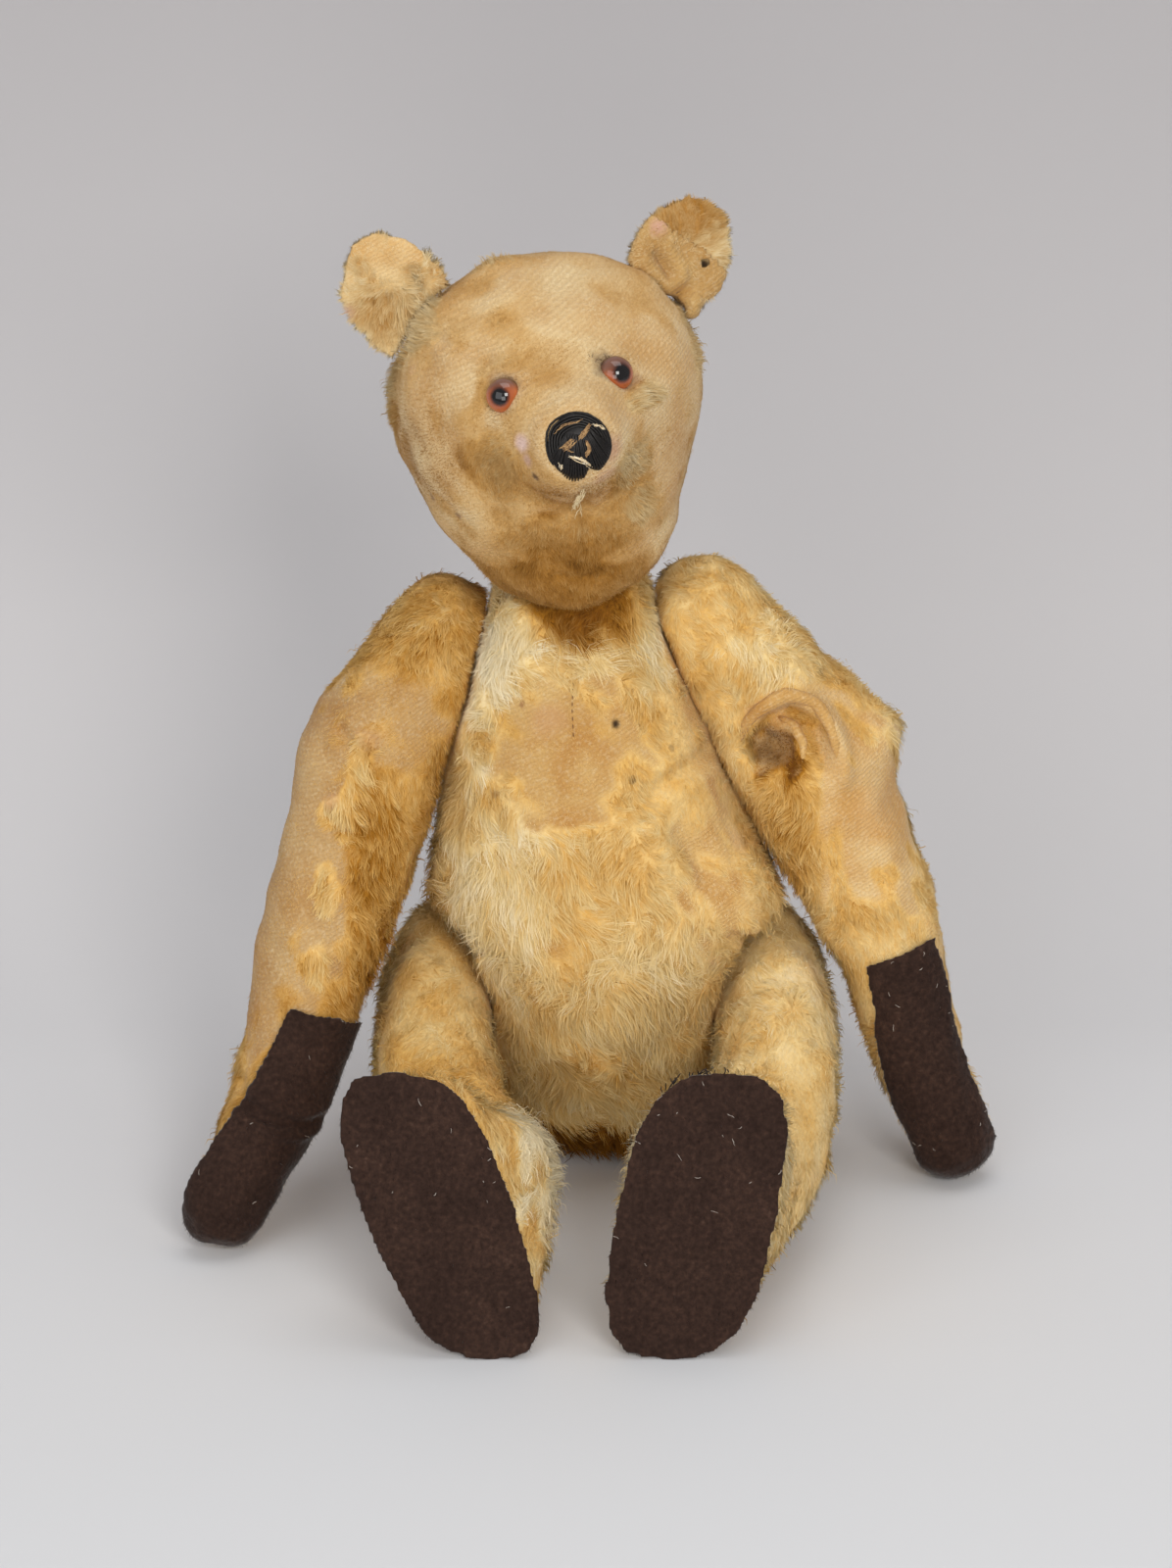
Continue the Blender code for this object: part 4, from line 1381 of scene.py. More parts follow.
@dataclass
class SoftBody:
    """One stuffed body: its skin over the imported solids, its folds, and its coat."""

    body: str
    voxel: float
    sink: float
    fill: float
    coat: Coat
    spots: tuple[Spot, ...] = ()
    kept: tuple[str, ...] = ()
    folds: tuple[Lump | Crease, ...] = ()
    cap: float = 2.0 * MM
    worn: str = "#D8A560"
    faded: str = "#EACB90"
    tones: Ramp = TONES
    skin: Object | None = field(default=None, repr=False)

    DENT: ClassVar[float] = 11 * MM
    """The size of the small dents that years of handling leave, and their depth below."""
    DENT_DEPTH: ClassVar[float] = 0.5 * MM
    HOLD: ClassVar[float] = 16 * MM
    """How far from a joint's disc or a sewn piece the cloth is free to swell."""
    SEAT: ClassVar[float] = 9 * MM
    """How high above the floor it is free to swell."""
    ROOM: ClassVar[float] = 14 * MM
    """How far from a neighbour the hairs can have their full length."""

    def make_skin(self, nodes: dict[str, Object]) -> None:
        """Build the skin over the solids, puff it and press its folds in.

        Args:
            nodes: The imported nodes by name.
        """
        own = f"{self.body}_cover"
        skin = skin_of(f"{self.body}_mohair", [nodes[own], nodes[f"{self.body}_stuffing"]],
                       self.voxel)
        beside = [node for name, node in nodes.items() if name in self.kept or (
            name.endswith("_cover") and name != own)]
        sunk(skin, self.sink, beside)
        puffed(skin, self.held(places_of(skin.data), nodes), self.cap, self.coat.seed)
        finer(skin)
        places, normals = places_of(skin.data), normals_of(skin.data)
        for fold in self.folds:
            places = fold.press(places, normals)
        uneven = Drift(self.DENT, self.coat.seed + 31).at(places) * self.DENT_DEPTH
        places = places + normals * (uneven * smoothstep(places[:, 2] / (5 * MM)))[:, None]
        places[:, 2] = np.maximum(places[:, 2], SKIN_CLEAR)
        put_places(skin.data, places)
        self.skin = skin

    def held(self, places: np.ndarray, nodes: dict[str, Object]) -> np.ndarray:
        """How firmly each place is held: at the floor, at the joints and by what sits on it.

        Args:
            places: The skin's places, one row each.
            nodes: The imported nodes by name.

        Returns:
            One weight for each place, from 0 for free to 1 for held.
        """
        reach = self.HOLD
        fixed = [node for name, node in nodes.items()
                 if name.endswith("_disc") or name in self.kept]
        near = 1 - smoothstep(gaps_to(tree_of(*fixed), places, reach) / reach)
        return np.maximum(near, 1 - smoothstep(places[:, 2] / self.SEAT))

    def dress(self, nodes: dict[str, Object]) -> None:
        """Paint the skin's wear, grow its pile and seat both on the body.

        Args:
            nodes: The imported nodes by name.
        """
        others = [node for name, node in nodes.items() if name.endswith(("_cover", "_pad", "_eye"))
                  and (node["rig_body"] != self.body or name in self.kept)]
        tree = tree_of(*others)
        self.coat.room = lambda places: gaps_to(tree, places, self.ROOM)
        self.coat.paint(self.skin)
        pile = MohairPile(f"mohair_pile_{self.body}", self.spots, self.tones)
        self.coat.grow(self.skin, pile.make())
        cloth = MohairCloth(f"mohair_cloth_{self.body}", self.spots, self.worn, self.faded,
                            tones=self.tones)
        dressed(self.skin, cloth.make(), self.body)
        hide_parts(f"{self.body}_cover", f"{self.body}_stuffing")


def torso() -> SoftBody:
    """The slumped torso: a rubbed chest, a long pale belly and slack folds on its left.

    Returns:
        The torso, with its patches, spots and folds.
    """
    patches = (
        Patch((-0.014, -0.038, 0.184), (0.027, 0.030, 0.022), bare=0.95, long=-5 * MM, tone=-0.06),
        Patch((-0.012, -0.044, 0.163), (0.020, 0.020, 0.008), bare=0.5, long=-3 * MM, tone=-0.06),
        Patch((0.038, -0.036, 0.165), (0.020, 0.030, 0.040), bare=0.3, long=-4 * MM, tone=0.02),
        Patch((0.052, -0.030, 0.125), (0.020, 0.030, 0.030), bare=0.28, long=-3.5 * MM, tone=-0.02),
        Patch((-0.012, -0.061, 0.107), (0.011, 0.020, 0.009), bare=0.55, long=-3 * MM, tone=-0.16),
        # Pale long hair on the upper chest, painted paler still: painted light, lifting the shade near
        # the neck.
        Patch((-0.046, -0.030, 0.203), (0.013, 0.030, 0.028), bare=-0.3, long=3.5 * MM, tone=0.22),
        Patch((-0.036, -0.030, 0.222), (0.013, 0.030, 0.016), bare=-0.4, long=3.5 * MM, tone=0.20),
        Patch((0.026, -0.030, 0.224), (0.013, 0.030, 0.016), bare=-0.4, long=3.5 * MM, tone=0.22),
        # Dark amber in the recess under the chin: painted shade.
        Patch((-0.005, -0.028, 0.234), (0.020, 0.030, 0.012), bare=-0.3, long=1.5 * MM, tone=-0.46),
        Patch((-0.003, -0.032, 0.215), (0.010, 0.030, 0.004), bare=-0.4, long=3.0 * MM, tone=0.08),
        Patch((-0.040, -0.048, 0.120), (0.022, 0.030, 0.040), bare=-0.3, long=2.5 * MM, tone=0.16),
        Patch((0.006, -0.060, 0.090), (0.026, 0.030, 0.032), bare=-0.3, long=2.5 * MM, tone=0.04),
        Patch((-0.002, -0.055, 0.136), (0.022, 0.030, 0.014), tone=-0.05),
        Patch((0.0, -0.045, 0.040), (0.060, 0.060, 0.012), bare=-0.1, long=1.5 * MM, tone=0.0),
        # Dark long hair along the bottom: painted shade under the belly, between the feet.
        Patch((0.0, -0.045, 0.003), (0.070, 0.080, 0.014), long=5 * MM, tone=-0.95, ragged=0.1),
        Patch((-0.064, -0.010, 0.160), (0.014, 0.040, 0.060), bare=-0.4, long=3 * MM, tone=-0.04),
        Patch((0.064, 0.0, 0.160), (0.014, 0.040, 0.060), bare=-0.4, long=2 * MM, tone=-0.04),
    )
    return SoftBody(
        "torso", 4.4 * MM, 0.9 * MM, 0.6,
        Coat("torso_pile", "torso", 158000, 7.6 * MM, 0.10, 0.58,
             Comb((0.42, -0.05, -1.0), (0.0, 0.02, 0.13), 0.15, 0.70, 0.9, 0.52), 11, patches,
             width=0.34 * MM, gather=0.6),
        spots=(
            Spot((-0.0318, -0.0327, 0.1968), 2.0 * MM, "#8A5A38", 0.6, 0.8),
            Spot((-0.0282, -0.0327, 0.1978), 2.0 * MM, "#8A5A38", 0.6, 0.8),
            # A moth hole, painted near-black as the shade inside it.
            Spot((0.0072, -0.0364, 0.1917), 2.6 * MM, "#2A1C14", 0.95, 0.6),
            Spot((0.0286, -0.0308, 0.180), 2.0 * MM, "#6E4A28", 0.45, 0.9),
            Spot((0.0135, -0.0426, 0.1716), 2.0 * MM, "#5E3E22", 0.6, 0.9),
            Spot((-0.0381, -0.0376, 0.1633), 2.6 * MM, "#8A6038", 0.45, 0.9),
            Spot((-0.018, -0.036, 0.194), 9 * MM, "#C08E66", 0.45),
            Spot((0.058, -0.030, 0.143), 9 * MM, "#C49A80", 0.3),
            # Painted shade: the amber spot in the recess under the chin, and the dark brown spot under
            # the belly.
            Spot((-0.0050, -0.030, 0.2340), 16 * MM, "#74420A", 0.6),
            Spot((-0.0030, -0.050, -0.004), 27 * MM, "#3A2616", 0.85)),
        worn="#BA894B", faded="#D0AC70",
        folds=(
            Lump((0.070, -0.024, 0.116), (1.0, -0.3, 0.0), (0.022, 0.030, 0.026), 5.0 * MM),
            Lump((-0.064, -0.020, 0.116), (-1.0, -0.3, 0.0), (0.022, 0.030, 0.034), 3.0 * MM),
            Lump((0.044, -0.040, 0.162), (0.5, -1.0, 0.0), (0.014, 0.030, 0.012), 3.5 * MM),
            Lump((0.056, -0.030, 0.122), (0.8, -1.0, 0.0), (0.014, 0.030, 0.020), 4.0 * MM),
            Lump((0.034, -0.045, 0.136), (-0.2, 1.0, 0.0), (0.010, 0.030, 0.014), 4.5 * MM),
            Crease(((-0.0086, -0.034, 0.208), (-0.0086, -0.038, 0.195), (-0.0086, -0.041, 0.184),
                    (-0.008, -0.047, 0.170)), 1.8 * MM, 1.3 * MM, 0.4 * MM),
            Crease(((0.0297, -0.0446, 0.1521), (0.036, -0.043, 0.142), (0.0436, -0.0400, 0.1306)),
                   3.6 * MM, 3.4 * MM, 1.4 * MM),
            Crease(((0.0509, -0.0428, 0.107), (0.060, -0.030, 0.099), (0.0688, -0.0120, 0.0934)),
                   3.2 * MM, 3.2 * MM, 1.4 * MM),
            Crease(((0.020, -0.045, 0.166), (0.034, -0.040, 0.171), (0.046, -0.030, 0.172)),
                   3.2 * MM, 2.2 * MM, 1.0 * MM),
            Crease(((0.0, 0.060, 0.205), (0.0, 0.075, 0.13), (0.0, 0.070, 0.05)),
                   2.0 * MM, 1.2 * MM, 0.4 * MM, False)))


NOSE_AT = (-0.006, -0.0855, 0.3206)


def head() -> SoftBody:
    """The head: a long muzzle, a low brow and nap worn down to the weave.

    Returns:
        The head, with its patches, spots and folds.
    """
    fringe = ((-0.055, -0.004, 0.362), (-0.044, -0.005, 0.367), (-0.030, -0.005, 0.370))
    crown = ((0.000, -0.003, 0.373), (0.014, 0.000, 0.368), (0.024, 0.004, 0.358), (0.034, 0.006, 0.344))
    patches = (
        Patch((0.0222, -0.0352, 0.3395), (0.014, 0.020, 0.012), bare=0.5, tone=-0.06),
        Patch((0.0291, -0.0415, 0.2986), (0.013, 0.020, 0.014), bare=0.45, tone=-0.14),
        Patch((0.022, -0.050, 0.318), (0.012, 0.020, 0.014), bare=0.3, tone=-0.12),
        Patch((-0.0640, -0.040, 0.3020), (0.019, 0.025, 0.021), bare=0.13, tone=-0.27),
        Patch((-0.050, -0.040, 0.330), (0.013, 0.020, 0.011), bare=0.4, tone=-0.08),
        Patch((-0.0173, -0.0274, 0.3577), (0.024, 0.020, 0.010), bare=0.15, tone=0.10),
        Patch((0.0110, -0.0450, 0.3550), (0.018, 0.020, 0.013), bare=0.1, tone=0.16),
        Patch((-0.016, -0.058, 0.342), (0.014, 0.014, 0.008), bare=-0.1, tone=-0.12),
        Patch((0, 0, 0), 6 * MM, bare=-0.5, long=5.0 * MM, tone=0.10, line=fringe),
        Patch((0, 0, 0), 6 * MM, bare=-0.5, long=5.0 * MM, tone=0.12, line=crown),
        Patch((-0.066, -0.018, 0.344), (0.009, 0.016, 0.012), bare=-0.5, long=3.5 * MM, tone=0.16),
        Patch((-0.078, -0.004, 0.318), (0.012, 0.020, 0.020), bare=-0.4, long=3.0 * MM, tone=0.06),
        Patch((0.040, 0.000, 0.338), (0.012, 0.020, 0.018), bare=-0.4, long=3.5 * MM, tone=0.06),
        Patch((-0.010, -0.062, 0.272), (0.026, 0.020, 0.012), bare=-0.3, long=1.5 * MM, tone=-0.12),
        Patch((0.018, -0.064, 0.288), (0.010, 0.020, 0.010), bare=-0.4, long=3.5 * MM, tone=0.14),
        Patch((-0.036, -0.065, 0.303), (0.013, 0.020, 0.012), bare=-0.3, long=1.0 * MM, tone=-0.08),
        Patch((-0.010, -0.040, 0.250), (0.050, 0.045, 0.012), bare=-0.3, long=1.0 * MM, tone=-0.18),
        Patch((-0.008, -0.060, 0.264), (0.030, 0.030, 0.010), tone=-0.14),
        Patch((-0.006, -0.078, 0.294), (0.024, 0.018, 0.012), tone=-0.26),
        Patch((-0.014, 0.055, 0.320), (0.080, 0.050, 0.070), bare=-0.15, long=2.5 * MM, tone=0.04),
        # Darker round the eye sockets: grime, and painted shade under the lids.
        Patch((-0.0331, -0.0579, 0.3297), 0.0090, bare=0.3, tone=-0.22),
        Patch((0.0079, -0.0514, 0.3355), 0.0090, bare=0.3, tone=-0.26),
        Patch((0.0175, -0.0520, 0.3275), (0.008, 0.012, 0.005), bare=-0.9, long=5.0 * MM, tone=0.28),
        Patch((0.0140, -0.0660, 0.3060), (0.009, 0.020, 0.011), bare=-0.5, long=3.4 * MM, tone=0.18),
        Patch(NOSE_AT, (0.017, 0.012, 0.014), bare=0.4, long=-1.5 * MM, tone=-0.20))
    return SoftBody(
        "head", 3.3 * MM, 0.7 * MM, 0.75,
        Coat("head_pile", "head", 150000, 1.9 * MM, 0.48, 0.50,
             Comb((0.25, 0.30, -0.5), NOSE_AT, 0.8, 0.78, 0.35, 0.14), 23, patches,
             width=0.27 * MM, clump=2.4 * MM, gather=0.4, strays=0.012),
        spots=(
            Spot((-0.0276, -0.0767, 0.3181), 5.0 * MM, "#E4C8C0", 0.8),
            Spot((-0.0250, -0.0780, 0.3120), 3.4 * MM, "#CDAAA4", 0.5),
            Spot((-0.0227, -0.0788, 0.3058), 2.4 * MM, "#4A3026", 0.8),
            Spot((-0.0614, -0.0348, 0.2812), 2.6 * MM, "#6A4634", 0.7),
            Spot((-0.0511, -0.0451, 0.2778), 2.2 * MM, "#6A4634", 0.7),
            Spot((-0.0700, -0.030, 0.331), 5.0 * MM, "#D9B4AC", 0.5),
            Spot((-0.0359, -0.0652, 0.3052), 11 * MM, "#A88A5C", 0.35),
            Spot((0.006, -0.082, 0.3180), 7 * MM, "#A87868", 0.6),
            Spot((0.004, -0.081, 0.3060), 7 * MM, "#B48468", 0.5),
            # Dark above and beside the eyes: grime, and painted shade under the lids.
            Spot((-0.0340, -0.0579, 0.3330), 8 * MM, "#96705A", 0.6, 0.5),
            Spot((0.0030, -0.0540, 0.3400), 7.5 * MM, "#5A463A", 0.6, 0.8),
            Spot((0.0110, -0.0514, 0.3340), 7 * MM, "#8A6048", 0.6, 0.5)),
        kept=("left_eye", "right_eye", "nose_stitching"), worn="#C49C66", faded="#D8BE90",
        tones=DUSTY,
        folds=(
            Lump((0.046, -0.020, 0.286), (-1.0, 0.0, -0.1), (0.020, 0.050, 0.026), 5.5 * MM),
            Lump((-0.0446, -0.005, 0.3665), (-0.3, 0.0, 1.0), 0.012, 4.0 * MM),
            Lump((0.0134, 0.0, 0.3670), (0.2, 0.0, 1.0), 0.013, 2.6 * MM),
            Lump((-0.066, -0.012, 0.342), (-0.3, -0.8, 0.5), 0.009, 2.0 * MM),
            Lump((0.0079, -0.0514, 0.3445), (0.0, -1.0, 0.4), 0.007, 1.2 * MM),
            Lump((-0.0331, -0.0579, 0.3385), (0.0, -1.0, 0.4), 0.007, 1.0 * MM),
            Lump((0.0150, -0.0540, 0.3280), (0.3, -1.0, 0.0), 0.006, 1.6 * MM),
            Crease(((-0.0601, -0.0288, 0.3406), (-0.048, -0.040, 0.341), (-0.037, -0.0488, 0.3397)),
                   1.8 * MM, 1.4 * MM, 0.5 * MM),
            Crease(((-0.0174, -0.0516, 0.2573), (-0.005, -0.052, 0.2555), (0.0088, -0.0473, 0.259)),
                   1.6 * MM, 1.0 * MM),
            Crease(((-0.0041, -0.0838, 0.3044), (-0.004, -0.074, 0.286), (-0.0038, -0.0563, 0.2707)),
                   1.8 * MM, 1.3 * MM, 0.4 * MM)),
        cap=1.1 * MM)


def left_arm() -> SoftBody:
    """The bear's left arm: a pinched arch of cloth at the elbow over a hollow painted dark as shade.

    Returns:
        The arm, with its patches, spots and folds.
    """
    patches = (
        Patch((0.1076, -0.0235, 0.1510), (0.023, 0.024, 0.032), bare=0.9, long=-3 * MM, tone=-0.06),
        Patch((0.1104, -0.0113, 0.1764), (0.008, 0.020, 0.008), bare=-0.4, long=1.5 * MM, tone=0.10),
        Patch((0.080, -0.020, 0.193), (0.018, 0.014, 0.008), bare=0.6, long=-2.5 * MM, tone=-0.04),
        Patch((0.092, -0.020, 0.176), (0.010, 0.014, 0.016), bare=0.6, long=-2.5 * MM, tone=-0.04),
        Patch((0.073, -0.0257, 0.138), (0.011, 0.020, 0.034), bare=-0.4, long=2.5 * MM, tone=-0.10),
        # Darker under the arch and in the hollow below it: painted shade.
        Patch((0.072, -0.0200, 0.182), (0.018, 0.020, 0.015), tone=-0.12),
        Patch((0.067, -0.021, 0.173), (0.009, 0.014, 0.009), bare=0.5, long=-3 * MM, tone=-0.40),
        Patch((0.074, -0.018, 0.212), (0.018, 0.020, 0.014), bare=-0.2, long=2 * MM, tone=0.16),
        Patch((0.140, -0.020, 0.085), (0.014, 0.030, 0.050), bare=0.35, long=-1.5 * MM, tone=-0.02))
    return SoftBody(
        "left_arm", 3.7 * MM, 0.8 * MM, 0.55,
        Coat("left_arm_pile", "left_arm", 74000, 4.6 * MM, 0.18, 0.54,
             Comb((0.30, -0.10, -1.0), (0.09, 0.0, 0.12), 0.25, 0.70, 0.8, 0.4), 37, patches),
        worn="#C89A5C", faded="#DCBE8A",
        # The first spot, near-black in the hollow, and the last, brown under the arch, are painted
        # shade.
        spots=(Spot((0.0645, -0.0190, 0.1742), 9 * MM, "#4E2C0A", 0.95),
               Spot((0.105, -0.022, 0.150), 14 * MM, "#CFA068", 0.3),
               Spot((0.0735, -0.022, 0.182), 4 * MM, "#8A5E28", 0.5)),
        kept=("left_paw_pad",),
        folds=(
            Crease(((0.0564, -0.020, 0.180), (0.0623, -0.019, 0.192), (0.0733, -0.0189, 0.1975),
                    (0.0864, -0.0203, 0.1902), (0.0927, -0.0255, 0.1745), (0.094, -0.0265, 0.160)),
                   3.4 * MM, -4.0 * MM),
            Crease(((0.0575, -0.020, 0.172), (0.0650, -0.020, 0.186), (0.0740, -0.021, 0.1895),
                    (0.0840, -0.022, 0.183), (0.0860, -0.024, 0.168)), 2.6 * MM, 4.2 * MM),
            Crease(((0.0700, -0.022, 0.185), (0.0765, -0.0222, 0.1803), (0.0780, -0.024, 0.170)),
                   2.2 * MM, -2.4 * MM),
            Lump((0.0650, -0.0211, 0.1740), (0.2, 1.0, 0.1), (0.008, 0.020, 0.007), 9.0 * MM),
            Lump((0.1104, -0.008, 0.1774), (1.0, 0.0, 0.25), (0.010, 0.014, 0.010), 3.5 * MM),
            Lump((0.094, -0.006, 0.202), (-1.0, 0.0, -0.7), (0.016, 0.030, 0.012), 4.5 * MM)))


PAW_CREASE = ((-0.140, -0.069, 0.0600), (-0.122, -0.072, 0.0515), (-0.102, -0.073, 0.0440))


def right_arm() -> SoftBody:
    """The bear's right arm: bare weave outside, a band of tufts and pile inside.

    Returns:
        The arm, with its patches, spots and folds.
    """
    tufts = ((-0.0877, -0.032, 0.1814), (-0.092, -0.040, 0.166), (-0.0951, -0.046, 0.1513))
    patches = (
        Patch((-0.108, -0.025, 0.150), (0.022, 0.045, 0.055), bare=0.6, long=-2.5 * MM, tone=-0.04),
        Patch((-0.125, -0.035, 0.100), (0.018, 0.045, 0.050), bare=0.5, long=-2.5 * MM, tone=-0.04),
        Patch((-0.075, -0.020, 0.195), (0.016, 0.020, 0.022), bare=0.3, long=-1.5 * MM, tone=-0.04),
        Patch((0, 0, 0), 3.6 * MM, bare=-0.9, long=3.5 * MM, tone=0.14, line=tufts),
        Patch((-0.0985, -0.045, 0.156), (0.006, 0.030, 0.005), bare=-0.8, long=3.0 * MM, tone=0.12),
        Patch((-0.1020, -0.045, 0.131), (0.005, 0.030, 0.010), bare=-0.9, long=3.5 * MM, tone=0.14),
        Patch((-0.1060, -0.045, 0.103), (0.004, 0.030, 0.009), bare=-0.8, long=3.0 * MM, tone=0.12),
        Patch((-0.153, -0.040, 0.030), (0.010, 0.030, 0.020), bare=1.0, long=-5.0 * MM),
        Patch((-0.0842, -0.0489, 0.1324), (0.010, 0.020, 0.050), bare=-0.6, long=2.5 * MM, tone=-0.14),
        Patch((-0.065, -0.015, 0.215), (0.024, 0.030, 0.012), bare=-0.3, long=2.0 * MM, tone=0.0),
        Patch((-0.142, -0.045, 0.062), (0.010, 0.020, 0.012), bare=-0.6, long=3.5 * MM, tone=0.08))
    return SoftBody(
        "right_arm", 3.8 * MM, 0.8 * MM, 0.6,
        Coat("right_arm_pile", "right_arm", 70000, 4.6 * MM, 0.28, 0.40,
             Comb((-0.12, -0.15, -1.0), (-0.09, 0.0, 0.12), 0.2, 0.70, 0.7, 0.42), 41, patches),
        worn="#AC804A", faded="#C2A06E",
        spots=(Spot((-0.085, -0.035, 0.186), 8 * MM, "#B07C60", 0.35),
               Spot((-0.099, -0.038, 0.160), 5 * MM, "#C08C74", 0.35)),
        kept=("right_paw_pad",),
        folds=(
            Lump((-0.102, -0.012, 0.180), (-1.0, -0.1, 0.25), (0.030, 0.040, 0.026), 6.0 * MM),
            Lump((-0.152, -0.045, 0.028), (1.0, 0.3, 0.0), (0.014, 0.030, 0.020), 3.0 * MM),
            Crease(PAW_CREASE, 2.4 * MM, 2.4 * MM),
            Crease(((-0.104, -0.035, 0.158), (-0.094, -0.044, 0.152), (-0.084, -0.046, 0.150)),
                   2.8 * MM, 2.0 * MM, 1.0 * MM),
            Crease(((-0.098, -0.030, 0.186), (-0.088, -0.036, 0.178), (-0.080, -0.040, 0.176)),
                   2.6 * MM, 1.8 * MM, 1.0 * MM)))


def leg(side: str, spots: tuple[Spot, ...], seed: int, inner: float, tone: float) -> SoftBody:
    """One leg, its foot upright at the front.

    Args:
        side: The bear's own side, left or right.
        spots: Its stains.
        seed: The seed of its coat.
        inner: How far the inner side of the ankle swells.
        tone: How pale its coat is.

    Returns:
        The leg.
    """
    sign = 1 if side == "left" else -1
    patches = (
        Patch((sign * 0.06, -0.150, 0.08), (0.035, 0.020, 0.060), bare=-0.1, long=1 * MM, tone=0.04),
        Patch((sign * 0.055, -0.070, 0.09), (0.020, 0.040, 0.020), long=0.5 * MM, tone=0.06),
        Patch((sign * 0.085, -0.110, 0.06), (0.014, 0.050, 0.030), bare=0.25, long=-2 * MM),
        Patch((sign * 0.05, -0.06, 0.012), (0.060, 0.120, 0.014), bare=0.1, tone=-0.25),
        # A pale tuft inside the ankle, painted paler still: painted light, lifting the shade there.
        Patch((sign * 0.022, -0.12, 0.055), (0.014, 0.034, 0.034), bare=-0.3, long=4 * MM, tone=0.40))
    return SoftBody(
        f"{side}_leg", 4.8 * MM, 0.9 * MM, 0.7,
        Coat(f"{side}_leg_pile", f"{side}_leg", 61000, 5.8 * MM, 0.12, tone,
             Comb((0.0, -1.0, -0.35), (sign * 0.055, -0.08, 0.05), 0.45, 0.68, 0.8, 0.36), seed,
             patches),
        spots=spots, kept=(f"{side}_foot_pad",),
        folds=(
            Lump((sign * 0.026, -0.125, 0.058), (-sign, 0.0, 0.3), (0.012, 0.030, 0.022), inner),
            Lump((sign * 0.092, -0.060, 0.085), (sign, 0.0, 0.3), (0.020, 0.040, 0.025), 1.8 * MM),
            Crease(((sign * 0.085, -0.118, 0.085), (sign * 0.055, -0.118, 0.094),
                    (sign * 0.025, -0.118, 0.085)), 5.0 * MM, 2.4 * MM, 0.8 * MM, False)))


# ---------------------------------------------------------------- ears, eyes and nose


class Side(Enum):
    """The bear's own left or right, with the sign of its X."""

    LEFT = 1
    RIGHT = -1

    @property
    def word(self) -> str:
        """The side as it stands in the nodes' names."""
        return self.name.lower()


@dataclass
class Ear:
    """A cupped ear of two layers of mohair, worn in front and furry behind."""

    side: Side
    seed: int
    patches: tuple[Patch, ...]
    folds: tuple[Lump | Crease, ...]
    spots: tuple[Spot, ...] = ()
    bare: float = 0.3
    tone: float = 0.66
    worn: str = "#D0A66A"
    faded: str = "#E6CA96"
    voxel: float = 1.8 * MM
    sink: float = 0.3 * MM
    ruffle: float = 6 * MM
    ruffle_depth: float = 0.6 * MM
    hairs: int = 18000
    pile: float = 3.6 * MM
    hair_width: float = 0.32 * MM
    clump: float = 2.4 * MM

    def build(self, nodes: dict[str, Object]) -> Object:
        """Make the ear's skin and its pile.

        Args:
            nodes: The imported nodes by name.

        Returns:
            The ear's skin.
        """
        name = f"{self.side.word}_ear"
        skin = skin_of(f"{name}_mohair", [nodes[name]], self.voxel)
        sunk(skin, self.sink, [])
        finer(skin)
        places, normals = places_of(skin.data), normals_of(skin.data)
        for fold in self.folds:
            places = fold.press(places, normals)
        uneven = Drift(self.ruffle, self.seed).at(places) * self.ruffle_depth
        put_places(skin.data, places + normals * uneven[:, None])
        comb = Comb((0.0, 0.1, 0.2), tuple(places.mean(axis=0)), 1.0, 0.60, 0.5, 0.3)
        coat = Coat(f"{name}_pile", "head", self.hairs, self.pile, self.bare, self.tone, comb,
                    self.seed, self.patches, width=self.hair_width, clump=self.clump)
        coat.paint(skin)
        coat.grow(skin, MohairPile(f"mohair_pile_{name}", self.spots, DUSTY).make())
        cloth = MohairCloth(f"mohair_cloth_{name}", self.spots, self.worn, self.faded, tones=DUSTY)
        dressed(skin, cloth.make(), "head")
        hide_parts(name)
        return skin


